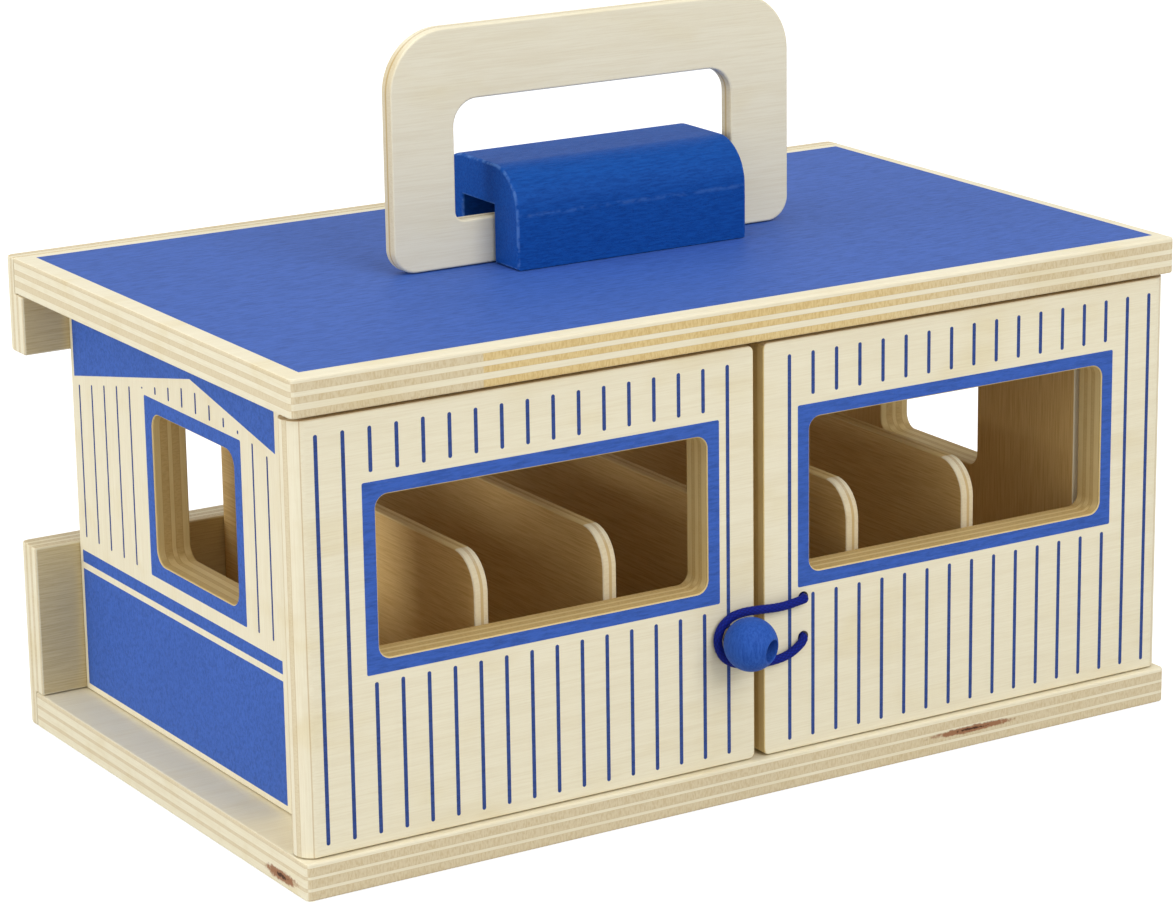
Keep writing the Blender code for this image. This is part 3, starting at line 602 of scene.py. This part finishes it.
def arc(centre, radius, start, end, steps):
    """Points on an arc from one angle in degrees to another, with both ends."""
    turns = [math.radians(start + (end - start) * step / steps) for step in range(steps + 1)]
    return [(centre[0] + radius * math.cos(t), centre[1] + radius * math.sin(t)) for t in turns]


def rounded_rectangle(low, high, radii=(0, 0, 0, 0), steps=CORNER_STEPS):
    """A rectangle's outline, counterclockwise, whose corners from the lower left have these radii."""
    corners = [(low[0], low[1]), (high[0], low[1]), (high[0], high[1]), (low[0], high[1])]
    inward = [(1, 1), (-1, 1), (-1, -1), (1, -1)]
    outline = []
    for quarter, (corner, sign, radius) in enumerate(zip(corners, inward, radii)):
        if radius == 0:
            outline.append(corner)
            continue
        centre = (corner[0] + sign[0] * radius, corner[1] + sign[1] * radius)
        outline += arc(centre, radius, 180 + 90 * quarter, 270 + 90 * quarter, steps)
    return outline


def inset(outline, distance):
    """A counterclockwise outline drawn in by a distance, or grown by a negative one."""
    drawn = []
    count = len(outline)
    for number, point in enumerate(outline):
        here = Vector(point)
        along_in = (here - Vector(outline[number - 1])).normalized()
        along_out = (Vector(outline[(number + 1) % count]) - here).normalized()
        normal_in = Vector((-along_in.y, along_in.x))
        normal_out = Vector((-along_out.y, along_out.x))
        middle = (normal_in + normal_out).normalized()
        drawn.append(here + middle * distance / max(middle.dot(normal_in), 0.3))
    return drawn


def place_along(axis, point, along):
    """A point of an outline that lies across the axis, at a place along it."""
    u, v = point
    return Vector({"X": (along, u, v), "Y": (u, along, v), "Z": (u, v, along)}[axis])


def arris_levels(low, high, width, steps=ARRIS_STEPS):
    """(place along the thickness, inset) pairs of a board's edge with rounded arrises."""
    turns = [math.pi / 2 * (steps - step) / steps for step in range(steps + 1)]
    levels = [(low + width * (1 - math.sin(turn)), width * (1 - math.cos(turn))) for turn in turns]
    return levels + [(high - (along - low), drawn) for along, drawn in reversed(levels)]


def ring_walls(mesh, rings):
    """Joins rings of equally many points, and returns the made rings' vertices."""
    made = [[mesh.verts.new(point) for point in ring] for ring in rings]
    for below, above in zip(made, made[1:]):
        count = len(below)
        for number in range(count):
            after = (number + 1) % count
            mesh.faces.new((below[number], below[after], above[after], above[number]))
    return made


def ring_edges(mesh, ring):
    """The edges round a ring of vertices."""
    pairs = zip(ring, ring[1:] + ring[:1])
    return [mesh.edges.get(pair) for pair in pairs]


def edge_walls(mesh, axis, loop, sign, low, high, arris):
    """Walls along one loop of a board, whose two edges are rounded."""
    rings = [
        [place_along(axis, point, along) for point in inset(loop, sign * drawn)]
        for along, drawn in arris_levels(low, high, arris)
    ]
    return ring_walls(mesh, rings)


def fill_caps(mesh, stacks):
    """Fills a board's two faces between the ends of its loops' walls."""
    for end in (0, -1):
        edges = [edge for stack in stacks for edge in ring_edges(mesh, stack[end])]
        bmesh.ops.triangle_fill(mesh, use_beauty=True, use_dissolve=False, edges=edges)


def add_board(mesh, axis, outline, holes, low, high, arris):
    """Adds a board: its outline and holes lie across the axis, and all its edges are rounded."""
    loops = [(outline, 1)] + [(hole, -1) for hole in holes]
    fill_caps(mesh, [edge_walls(mesh, axis, loop, sign, low, high, arris) for loop, sign in loops])


def add_slab(mesh, axis, outline, holes, low, high):
    """Adds a thin slab with square edges."""
    stacks = []
    for loop in [outline] + list(holes):
        rings = [[place_along(axis, point, along) for point in loop] for along in (low, high)]
        stacks.append(ring_walls(mesh, rings))
    fill_caps(mesh, stacks)


def add_turned(mesh, profile, sides, placed):
    """Adds a closed solid turned round Z from (radius, height) points, bottom first, then places it."""
    turns = [2 * math.pi * side / sides for side in range(sides)]
    rings = [
        [placed @ Vector((radius * math.cos(t), radius * math.sin(t), height)) for t in turns]
        for radius, height in profile
    ]
    made = ring_walls(mesh, rings)
    mesh.faces.new(list(reversed(made[0])))
    mesh.faces.new(made[-1])


def add_bore(mesh, radius, reach, placed, sides=ROUND_STEPS):
    """Adds a round cutter that reaches from one height to another along its own Z."""
    add_turned(mesh, [(radius, reach[0]), (radius, reach[1])], sides, placed)


def round_piece(name):
    """The centre of a round CAD piece, and half its width."""
    low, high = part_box(name)
    return (low + high) / 2, (high.x - low.x) / 2


def hand(side):
    """The name of the left side, -1, or the right side, 1."""
    return "left" if side < 0 else "right"


def add_object(name, mesh):
    """Turns a bmesh into an object of the scene."""
    bmesh.ops.recalc_face_normals(mesh, faces=mesh.faces)
    data = bpy.data.meshes.new(name)
    mesh.to_mesh(data)
    mesh.free()
    made = bpy.data.objects.new(name, data)
    bpy.context.scene.collection.objects.link(made)
    return made


def carve(piece, mesh):
    """Cuts the closed solids in a bmesh out of a piece, for good."""
    cutter = add_object(piece.name + "_cutter", mesh)
    boolean = piece.modifiers.new("cut", "BOOLEAN")
    boolean.operation = "DIFFERENCE"
    boolean.solver = "EXACT"
    boolean.object = cutter
    graph = bpy.context.evaluated_depsgraph_get()
    carved = bpy.data.meshes.new_from_object(piece.evaluated_get(graph))
    piece.modifiers.clear()
    piece.data = carved
    bpy.data.objects.remove(cutter, do_unlink=True)


def smooth(piece):
    """Shades a piece smooth up to its sharp edges, with flat faces kept flat."""
    piece.data.shade_smooth()
    piece.data.set_sharp_from_angle(angle=SMOOTH_ANGLE)
    weighted = piece.modifiers.new("weighted", "WEIGHTED_NORMAL")
    weighted.keep_sharp = True
    weighted.weight = 100


def dress(piece, material, body, slot, *nodes):
    """Gives a piece its material and body, and hides the CAD nodes that it stands for; its slot is not
    used.
    """
    piece.data.materials.clear()
    piece.data.materials.append(material)
    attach(piece, body)
    if nodes:
        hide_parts(*nodes)


def paint_node(name, material):
    """Gives a CAD node its material."""
    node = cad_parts[name]
    for number in range(len(node.material_slots)):
        node.material_slots[number].material = material
    if not node.material_slots:
        node.data.materials.append(material)


# Doors


def door_rings(low, high, side):
    """Rings of a door from its rear to its front: half round at the hinge edge, arris elsewhere."""
    radius = (high.y - low.y) / 2
    middle = (high.y + low.y) / 2
    turns = [math.pi / 2 * (2 * step / ROUND_STEPS - 1) for step in range(ROUND_STEPS + 1)]
    depths = {round(middle + radius * math.sin(turn), 7) for turn in turns}
    depths |= {round(along, 7) for along, drawn in arris_levels(low.y, high.y, ARRIS)}
    rings = []
    for depth in sorted(depths):
        away = min(depth - low.y, high.y - depth)
        eased = ARRIS - math.sqrt(max(ARRIS ** 2 - (ARRIS - away) ** 2, 0)) if away < ARRIS else 0.0
        hinge = radius - math.sqrt(max(radius ** 2 - (depth - middle) ** 2, 0))
        left, right = (hinge, eased) if side < 0 else (eased, hinge)
        corners = (low.x + left, low.z + eased), (high.x - right, high.z - eased)
        free = DOOR_CORNER_RADIUS - eased
        square = ARRIS / 2
        radii = (square, free, free, square) if side < 0 else (free, square, square, free)
        rings.append([place_along("Y", point, depth) for point in rounded_rectangle(*corners, radii)])
    return rings


def door_window(low, high, side):
    """The window's outline in X and Z, from the door's free edge and lower edge."""
    far = high.x - DOOR_STILE if side < 0 else low.x + DOOR_STILE
    near = far + side * DOOR_WINDOW_SIZE[0]
    sill = low.z + DOOR_WINDOW_SILL
    corners = (min(far, near), sill), (max(far, near), sill + DOOR_WINDOW_SIZE[1])
    return corners


def opening(low, high):
    """The middle and the reach of a window from its two corners."""
    middle = [(one + other) / 2 for one, other in zip(low, high)]
    reach = [(other - one) / 2 for one, other in zip(low, high)]
    return middle, reach


def make_door(side):
    """A door with its window, its rounded hinge edge and its bores."""
    name = f"door_{hand(side)}"
    low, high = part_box(name)
    mesh = bmesh.new()
    outer = ring_walls(mesh, door_rings(low, high, side))
    corners = door_window(low, high, side)
    window = rounded_rectangle(*corners, (DOOR_WINDOW_RADIUS,) * 4)
    fill_caps(mesh, [outer, edge_walls(mesh, "Y", window, -1, low.y, high.y, ARRIS)])
    door = add_object(name + "_panel", mesh)
    carve(door, door_bores(side, low, high))
    smooth(door)
    free = high.x if side < 0 else low.x
    # Painted shade on the window's reveals and on the free edge in the gap between the doors
    shaded_openings = [opening(*corners), opening((free, low.z), (free, high.z))]
    plies = plywood(
        name + "_ply", DOOR_PLIES, "+Y", low.y, "XZ", 11 + side, SHADED_INNER_VENEER,
        shaded_openings=shaded_openings, glued=WALL_GLUE,
    )
    dress(door, plies, f"{hand(side)}_door", "ply", name)
    print_door(side, name, low, high, window)


def door_bores(side, low, high):
    """Cutters for the pins, the bead's peg and the loop."""
    mesh = bmesh.new()
    ends = {
        "lower": (low.z - ARRIS, low.z + PIN_HOLE_DEPTH),
        "upper": (high.z - PIN_HOLE_DEPTH, high.z + ARRIS),
    }
    for end, reach in ends.items():
        centre, radius = round_piece(f"pivot_pin_{hand(side)}_{end}")
        add_bore(mesh, radius + BORE_GAP, reach, Matrix.Translation((centre.x, centre.y, 0)))
    if side < 0:
        centre, radius = round_piece("latch_peg")
        reach = (low.y - ARRIS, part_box("latch_peg")[1].y + BORE_GAP)
        add_bore(mesh, radius + BORE_GAP, reach, Matrix.Translation((centre.x, 0, centre.z)) @ ALONG_Y)
    else:
        reach = (low.y - ARRIS, high.y + ARRIS)
        for place in (LOOP_ROUTE[3], LOOP_ROUTE[-4]):
            placed = Matrix.Translation((place[0], 0, place[2])) @ ALONG_Y
            add_bore(mesh, LOOP_HOLE_RADIUS, reach, placed, 2 * ROUND_STEPS)
    return mesh


def add_stripe(mesh, axis, place, low, high, surface, width):
    """Adds one upright stripe with round ends at a place across the surface."""
    half = width / 2
    radii = (half * STRIPE_END_SHARE,) * 4
    outline = rounded_rectangle((place - half, low), (place + half, high), radii, PRINT_CORNER_STEPS)
    add_slab(mesh, axis, outline, [], *surface)


def print_frame(mesh, axis, low, high, line, window, surface):
    """Adds the frame that is printed round a window, and returns its two outer corners."""
    low = [place - line for place in low]
    high = [place + line for place in high]
    outline = rounded_rectangle(low, high, (FRAME_CORNER_RADIUS,) * 4, PRINT_CORNER_STEPS)
    add_slab(mesh, axis, outline, [inset(window, -FRAME_LIP)], *surface)
    return low, high


def print_door(side, name, low, high, window):
    """The door's printed frame, and its darker stripes."""
    body = f"{hand(side)}_door"
    surface = (low.y - INK_HEIGHT, low.y + INK_DEPTH)
    mesh = bmesh.new()
    corners = door_window(low, high, side)
    frame_low, frame_high = print_frame(mesh, "Y", *corners, FRAME_LINE, window, surface)
    ink = printed(name + "_frame_ink", FRAME_INK, 21 + side)
    dress(add_object(name + "_frame", mesh), ink, body, "printed_ply")

    mesh = bmesh.new()
    bottom, top = low.z + STRIPE_BOTTOM_RISE, high.z - STRIPE_TOP_DROP
    under = frame_low[1] - STRIPE_GAP_UNDER_FRAME
    over = frame_high[1] + STRIPE_GAP_OVER_FRAME
    free = high.x if side < 0 else low.x
    for number in range(STRIPES):
        place = free + side * (STRIPE_FROM_FREE_EDGE + number * STRIPE_PITCH)
        reaches = [(bottom, top)] if number in WHOLE_STRIPES else [(bottom, under), (over, top)]
        for reach in reaches:
            add_stripe(mesh, "Y", place, *reach, surface, STRIPE_WIDTH)
    ink = printed(name + "_stripe_ink", STRIPE_INK, 25 + side)
    dress(add_object(name + "_stripes", mesh), ink, body, "printed_ply")


# Side walls


def gable_height(y):
    """Height of the gable's lower line on a side wall."""
    return GABLE_APEX[1] - GABLE_SLOPE * abs(y - GABLE_APEX[0])


def make_wall(side):
    """A side wall with its window."""
    name = f"side_wall_{hand(side)}"
    low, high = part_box(name)
    window = rounded_rectangle(WALL_WINDOW_LOW, WALL_WINDOW_HIGH, (WALL_WINDOW_RADIUS,) * 4)
    outline = rounded_rectangle((low.y, low.z), (high.y, high.z))
    mesh = bmesh.new()
    add_board(mesh, "X", outline, [window], low.x, high.x, ARRIS)
    wall = add_object(name + "_panel", mesh)
    carve(wall, wall_bores(side, low, high))
    smooth(wall)
    outer, across = (low.x, "+X") if side < 0 else (high.x, "-X")
    # Painted shade on the window's reveals
    shaded_openings = [opening(WALL_WINDOW_LOW[::-1], WALL_WINDOW_HIGH[::-1])]
    plies = plywood(
        name + "_ply", WALL_PLIES, across, outer, "ZY", 31 + side, SHADED_INNER_VENEER,
        shaded_openings=shaded_openings, glued=WALL_GLUE,
    )
    dress(wall, plies, "carcass", "ply", name)
    print_wall(side, name, high, window, outer)


def wall_bores(side, low, high):
    """Cutters for the dowels that stand in one wall."""
    mesh = bmesh.new()
    for end, outside in (("lower", low.z - ARRIS), ("upper", high.z + ARRIS)):
        for number in range(1, WALL_DOWELS + 1):
            name = f"wall_dowel_{end}_{number}"
            centre, radius = round_piece(name)
            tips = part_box(name)
            inside = tips[1].z + BORE_GAP if end == "lower" else tips[0].z - BORE_GAP
            if centre.x * side > 0:
                placed = Matrix.Translation((centre.x, centre.y, 0))
                add_bore(mesh, radius + BORE_GAP, sorted((outside, inside)), placed)
    return mesh


def print_wall(side, name, high, window, outer):
    """The wall's printed gable, window frame, band and bare panel, and its darker stripes."""
    surface = sorted((outer + side * INK_HEIGHT, outer - side * INK_DEPTH))
    front, rear = WALL_PRINT_FRONT, high.y - WALL_PRINT_MARGIN
    gable = [(front, gable_height(front)), GABLE_APEX, (rear, gable_height(rear))]
    gable += [(rear, high.z - ARRIS), (front, high.z - ARRIS)]
    mesh = bmesh.new()
    add_slab(mesh, "X", gable, [], *surface)
    for bottom, top in (BAND_HEIGHTS, PANEL_HEIGHTS):
        add_slab(mesh, "X", rounded_rectangle((front, bottom), (rear, top)), [], *surface)
    corners = (WALL_WINDOW_LOW, WALL_WINDOW_HIGH)
    frame_low, frame_high = print_frame(mesh, "X", *corners, WALL_FRAME_LINE, window, surface)
    ink = printed(name + "_field_ink", FIELD_INK, 41 + side, "Z", WALL_INK_STREAK)
    dress(add_object(name + "_fields", mesh), ink, "carcass", "printed_ply")

    mesh = bmesh.new()
    for number in range(WALL_STRIPES):
        place = WALL_STRIPE_FIRST + number * WALL_STRIPE_PITCH
        top = gable_height(place) - WALL_STRIPE_TOP_GAP
        over = frame_low[0] - WALL_STRIPE_WIDTH < place < frame_high[0] + WALL_STRIPE_PITCH / 2
        bottom = WALL_STRIPE_OVER_WINDOW if over else WALL_STRIPE_BOTTOM
        add_stripe(mesh, "X", place, bottom, top, surface, WALL_STRIPE_WIDTH)
    ink = printed(name + "_stripe_ink", WALL_STRIPE_INK, 45 + side, "Z")
    dress(add_object(name + "_stripes", mesh), ink, "carcass", "printed_ply")


# Roof, base, rear boards and dividers


def print_roof():
    """The blue field on the roof board."""
    low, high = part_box("roof_board")
    mesh = bmesh.new()
    corners = (low.x + ROOF_MARGIN_LEFT, low.y + ROOF_MARGIN_FRONT)
    far = (high.x - ROOF_MARGIN_RIGHT, high.y - ROOF_MARGIN_REAR)
    outline = rounded_rectangle(corners, far)
    add_slab(mesh, "Z", outline, [], high.z - INK_DEPTH, high.z + INK_HEIGHT)
    ink = printed("roof_ink", ROOF_INK, 51)
    dress(add_object("roof_print", mesh), ink, "carcass", "printed_ply")


def paint_boards():
    """Plywood for the boards that keep their CAD shape."""
    low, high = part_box("roof_board")
    # The roof's underside gets a veneer of painted shade
    roof = plywood("roof_ply", ROOF_PLIES, "-Z", high.z, "XY", 61, SHADED_INNER_VENEER, warm=ROOF_WARM_STRETCH)
    paint_node("roof_board", roof)
    low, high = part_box("base_board")
    knots = [(low + Vector(place), radii, strength) for place, radii, strength in BASE_KNOTS]
    paint_node("base_board", plywood("base_ply", BASE_PLIES, "-Z", high.z, "XY", 65, patches=knots))
    for number, name in enumerate(("rear_fascia", "low_rear_board")):
        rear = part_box(name)[1].y
        # Their front faces get a veneer of painted shade
        paint_node(name, plywood(name + "_ply", REAR_PLIES, "-Y", rear, "XZ", 71 + 4 * number, SHADED_REAR_VENEER))


def make_dividers():
    """The stall dividers, with finely rounded front corners."""
    for number in range(1, DIVIDERS + 1):
        name = f"stall_divider_{number}"
        low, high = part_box(name)
        radii = (0, 0, 0, DIVIDER_RADIUS)
        outline = rounded_rectangle((low.y, low.z), (high.y, high.z), radii, ROUND_STEPS)
        mesh = bmesh.new()
        add_board(mesh, "X", outline, [], low.x, high.x, ARRIS)
        divider = add_object(name + "_panel", mesh)
        smooth(divider)
        # Painted shade on the edges behind the rounded front corner
        shaded_openings = [opening((low.y + DIVIDER_RADIUS, low.z), (high.y, high.z))]
        seed = 81 + 3 * number
        plies = plywood(
            name + "_ply", DIVIDER_PLIES, "+X", low.x, "YZ", seed, SHADED_DIVIDER_VENEER,
            core=CORE_WOOD, shaded_openings=shaded_openings,
        )
        dress(divider, plies, "carcass", "thin_ply", name)


# Handle and block


def make_handle():
    """The handle plate with its grip hole."""
    low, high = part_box("handle")
    radii = (HANDLE_BOTTOM_RADIUS,) * 2 + (HANDLE_TOP_RADIUS,) * 2
    outline = rounded_rectangle((low.x, low.z), (high.x, high.z), radii, ROUND_STEPS)
    half = GRIP_SIZE[0] / 2
    centre = (low.x + high.x) / 2
    grip_low = (centre - half, low.z + GRIP_RISE)
    grip_high = (centre + half, low.z + GRIP_RISE + GRIP_SIZE[1])
    radii = (GRIP_BOTTOM_RADIUS,) * 2 + (GRIP_TOP_RADIUS,) * 2
    mesh = bmesh.new()
    grip = rounded_rectangle(grip_low, grip_high, radii)
    add_board(mesh, "Y", outline, [grip], low.y, high.y, HANDLE_ARRIS)
    plate = add_object("handle_plate", mesh)
    smooth(plate)
    plies = plywood("handle_ply", HANDLE_PLIES, "+Y", low.y, "XZ", 101, core=CORE_WOOD)
    dress(plate, plies, "handle_plate", "thin_ply", "handle")


def block_outline(low, high):
    """The block's section in Y and Z, counterclockwise."""
    front, rear = low.y, high.y
    spring = high.z - BLOCK_ROUNDING
    outline = [(front, low.z), (front + BLOCK_LEG, low.z), (front + BLOCK_LEG, low.z + CHANNEL_HEIGHT)]
    outline += [(rear - BLOCK_LEG, low.z + CHANNEL_HEIGHT), (rear - BLOCK_LEG, low.z), (rear, low.z)]
    outline += arc((rear - BLOCK_ROUNDING, spring), BLOCK_ROUNDING, 0, 90, ROUND_STEPS)
    outline += arc((front + BLOCK_ROUNDING, spring), BLOCK_ROUNDING, 90, 180, ROUND_STEPS)
    outline.append((front, spring - BLOCK_CREASE))
    return outline


def make_block():
    """The painted block, with the channel that the handle runs through."""
    low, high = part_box("handle_block")
    mesh = bmesh.new()
    add_board(mesh, "X", block_outline(low, high), [], low.x, high.x, BLOCK_ARRIS)
    block = add_object("handle_block_body", mesh)
    cutters = bmesh.new()
    for name in ("block_screw_front", "block_screw_rear"):
        centre, radius = round_piece(name)
        reach = (low.z - ARRIS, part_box(name)[1].z + BORE_GAP)
        add_bore(cutters, radius / 2 + BORE_GAP, reach, Matrix.Translation((centre.x, centre.y, 0)))
    carve(block, cutters)
    add_wear_and_highlight(block, low, high)
    smooth(block)
    dress(block, blue_paint("block_paint", BLOCK_TONES, 111), "carcass", "blue_wood", "handle_block")


def add_wear_and_highlight(piece, low, high):
    """Marks the block's end arrises as worn, and the crease where its front starts to round with a painted
    highlight.
    """
    wear_and_highlight = piece.data.attributes.new("wear_and_highlight", "FLOAT", "POINT")
    spring = high.z - BLOCK_ROUNDING
    for value, vertex in zip(wear_and_highlight.data, piece.data.vertices):
        away = min(abs(vertex.co.x - low.x), abs(vertex.co.x - high.x))
        # The crease's pale line is a painted highlight
        creased = abs(vertex.co.z - spring) < NEARLY and vertex.co.y < low.y + BLOCK_ARRIS
        value.value = 1.0 if NEARLY < away < BLOCK_ARRIS - NEARLY else CREASE_HIGHLIGHT * creased


# Latch


def make_bead():
    """The bead, turned round its bore, with a socket for the peg."""
    low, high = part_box("latch_bead")
    centre = low + Vector((BEAD_RADIUS,) * 3)
    turn, dip = BEAD_BORE_TURN, BEAD_BORE_DIP
    outward = Vector((math.sin(turn) * math.cos(dip), -math.cos(turn) * math.cos(dip), -math.sin(dip)))
    placed = Matrix.Translation(centre) @ outward.to_track_quat("Z", "X").to_matrix().to_4x4()
    mouth = math.asin((BEAD_BORE_RADIUS + BEAD_RIM) / BEAD_RADIUS)
    span = math.pi - mouth - BEAD_POLE_TURN
    turns = [mouth + span * (1 - step / BEAD_ARC_STEPS) for step in range(BEAD_ARC_STEPS + 1)]
    profile = [(BEAD_RADIUS * math.sin(turn), BEAD_RADIUS * math.cos(turn)) for turn in turns]
    rim = profile[-1][1]
    profile.append((BEAD_BORE_RADIUS + BEAD_RIM * 0.4, rim - BEAD_RIM * 0.1))
    profile.append((BEAD_BORE_RADIUS, rim - BEAD_RIM))
    profile.append((BEAD_BORE_RADIUS, BEAD_RADIUS - BEAD_BORE_DEPTH))
    mesh = bmesh.new()
    add_turned(mesh, profile, BEAD_SIDES, placed)
    bead = add_object("latch_bead_body", mesh)
    cutter = bmesh.new()
    reach = (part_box("latch_peg")[0].y - BORE_GAP, high.y + BEAD_RADIUS)
    placed = Matrix.Translation((centre.x, 0, centre.z)) @ ALONG_Y
    add_bore(cutter, round_piece("latch_peg")[1] + BORE_GAP, reach, placed)
    carve(bead, cutter)
    smooth(bead)
    dress(bead, blue_paint("bead_paint", BEAD_TONES, 121, "Z"), "left_door", "blue_wood", "latch_bead")


def smooth_route(points, steps):
    """Points on a Catmull-Rom curve through the given ones."""
    ends = [points[0] * 2 - points[1]] + points + [points[-1] * 2 - points[-2]]
    route = []
    for before, start, end, after in zip(ends, ends[1:], ends[2:], ends[3:]):
        for step in range(steps):
            t = step / steps
            slope_in = (end - before) / 2
            slope_out = (after - start) / 2
            bend = (start - end) * 2 + slope_in + slope_out
            lift = (end - start) * 3 - slope_in * 2 - slope_out
            route.append(((bend * t + lift) * t + slope_in) * t + start)
    return route + [points[-1]]


def braided_tube(mesh, route, radius):
    """Adds a closed braided tube along a route, and returns the height of the braid at each vertex."""
    crowns = []
    rings = []
    side = Vector((0, 0, 1))
    travelled = 0.0
    for number, point in enumerate(route):
        before, after = route[max(number - 1, 0)], route[min(number + 1, len(route) - 1)]
        ahead = (after - before).normalized()
        side = (side - ahead * side.dot(ahead)).normalized()
        other = ahead.cross(side)
        travelled += (point - before).length
        ring = []
        for step in range(CORD_SIDES):
            turn = 2 * math.pi * step / CORD_SIDES
            lay = 2 * math.pi * travelled / BRAID_LAY * BRAID_STRANDS / 2
            strands = BRAID_STRANDS * turn
            crown = abs(math.sin((strands + lay) / 2) * math.sin((strands - lay) / 2))
            reach = radius - BRAID_RELIEF * (1 - crown)
            ring.append(point + (side * math.cos(turn) + other * math.sin(turn)) * reach)
            crowns.append(crown)
        rings.append(ring)
    made = ring_walls(mesh, rings)
    mesh.faces.new(list(reversed(made[0])))
    mesh.faces.new(made[-1])
    return crowns


def finish_cord(piece, crowns, node):
    """Stores the braid's height on a cord piece and dresses it."""
    stored = piece.data.attributes.new("crown", "FLOAT", "POINT")
    for value, crown in zip(stored.data, crowns):
        value.value = crown
    piece.data.shade_smooth()
    dress(piece, elastic_cord(piece.name + "_yarn"), "right_door", "elastic", node)


def loop_places():
    """The loop's route in the part's frame."""
    low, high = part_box("door_right")
    middle = Vector((0, (low.y + high.y) / 2, 0))
    return [middle + Vector(point) for point in LOOP_ROUTE]


def make_loop():
    """The elastic loop, a fine braided tube along the CAD route."""
    mesh = bmesh.new()
    route = smooth_route(loop_places(), CORD_STEPS)
    crowns = braided_tube(mesh, route, CORD_RADIUS)
    finish_cord(add_object("latch_loop_cord", mesh), crowns, "latch_loop")


def make_knot():
    """The knot behind the door: three tilted wraps and two short tails."""
    route = loop_places()
    centre = (route[0] + route[-1]) / 2
    mesh = bmesh.new()
    crowns = []
    for tilt, turn in KNOT_WRAPS:
        facing = Matrix.Rotation(turn, 3, "Z") @ Matrix.Rotation(tilt, 3, "X")
        angles = [2 * math.pi * step / KNOT_WRAP_POINTS for step in range(KNOT_WRAP_POINTS)]
        ring = [Vector((math.cos(angle), math.sin(angle), 0)) * KNOT_WRAP_RADIUS for angle in angles]
        points = [centre + facing @ point for point in ring + ring[:1]]
        crowns += braided_tube(mesh, smooth_route(points, 3), CORD_RADIUS * KNOT_WRAP_CORD_SHARE)
    for side in (-1, 1):
        start = centre + Vector((side * KNOT_TAIL_START, 0, 0))
        step = Vector((side, 1, 0)).normalized() * KNOT_TAIL_LENGTH / KNOT_TAIL_POINTS
        points = [start + step * number for number in range(KNOT_TAIL_POINTS + 1)]
        crowns += braided_tube(mesh, smooth_route(points, 4), CORD_RADIUS * KNOT_TAIL_CORD_SHARE)
    finish_cord(add_object("loop_knot_cord", mesh), crowns, "loop_knot")


# Small CAD pieces


def paint_small_pieces():
    """Materials for pins, screws, dowels and the peg, which keep their CAD shape."""
    metal = steel("steel")
    dowel = turned_wood("dowel_wood", "Z")
    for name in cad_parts:
        if name.startswith(("pivot_pin", "block_screw")):
            paint_node(name, metal)
        if name.startswith("wall_dowel"):
            paint_node(name, dowel)
    paint_node("latch_peg", turned_wood("peg_wood", "Y"))


# Stage and light


def make_floor():
    """A pale floor under the barn, which looks white to the camera and keeps the shadow."""
    mesh = bmesh.new()
    corners = rounded_rectangle((-FLOOR_HALF,) * 2, (FLOOR_HALF,) * 2)
    mesh.faces.new([mesh.verts.new((x, y, -FLOOR_DROP)) for x, y in corners])
    floor = add_object("floor", mesh)
    made = bpy.data.materials.new("floor")
    graph = Tree(made)
    graph.tree.nodes.clear()
    sight = graph.node("LightPath").outputs["Is Camera Ray"]
    glow = graph.node("Emission", WHITE, graph.math("MULTIPLY", sight, FLOOR_GLOW))
    diffuse = graph.node("BsdfDiffuse", FLOOR_TONE)
    both = graph.node("AddShader", diffuse.outputs[0], glow.outputs[0])
    graph.node("OutputMaterial", both.outputs[0])
    floor.data.materials.append(made)


def make_world():
    """Even light from all round, and plain white where the camera or a reflection sees it."""
    world = bpy.data.worlds.new("studio")
    bpy.context.scene.world = world
    graph = Tree(world)
    graph.tree.nodes.clear()
    rays = graph.node("LightPath").outputs
    factor = rays["Is Camera Ray"]
    for kind in ("Is Glossy Ray", "Is Transmission Ray"):
        factor = graph.math("MAXIMUM", factor, rays[kind])
    light = graph.node("Background", WHITE, WORLD_LEVEL)
    seen = graph.node("Background", WHITE)
    choice = graph.node("MixShader", factor, light.outputs[0], seen.outputs[0])
    graph.node("OutputWorld", choice.outputs[0])


def make_lamp(name, place, size, power):
    """A soft square lamp that faces the middle of the barn."""
    lamp = bpy.data.lights.new(name, "AREA")
    lamp.size = size
    lamp.energy = power
    made = bpy.data.objects.new(name, lamp)
    aim = LAMP_AIM - Vector(place)
    made.matrix_world = Matrix.Translation(place) @ aim.to_track_quat("-Z", "Y").to_matrix().to_4x4()
    bpy.context.scene.collection.objects.link(made)


def make_lights():
    """Studio light at a plain level: a front lamp, one from the left, one above, and the world."""
    make_world()
    for name, lamp in LAMPS.items():
        make_lamp(name, *lamp)
    bpy.context.scene.view_settings.view_transform = "Standard"


make_camera()
make_loop()
make_knot()
make_bead()
for side in (-1, 1):
    make_door(side)
    make_wall(side)
print_roof()
paint_boards()
make_dividers()
make_handle()
make_block()
paint_small_pieces()
make_floor()
make_lights()
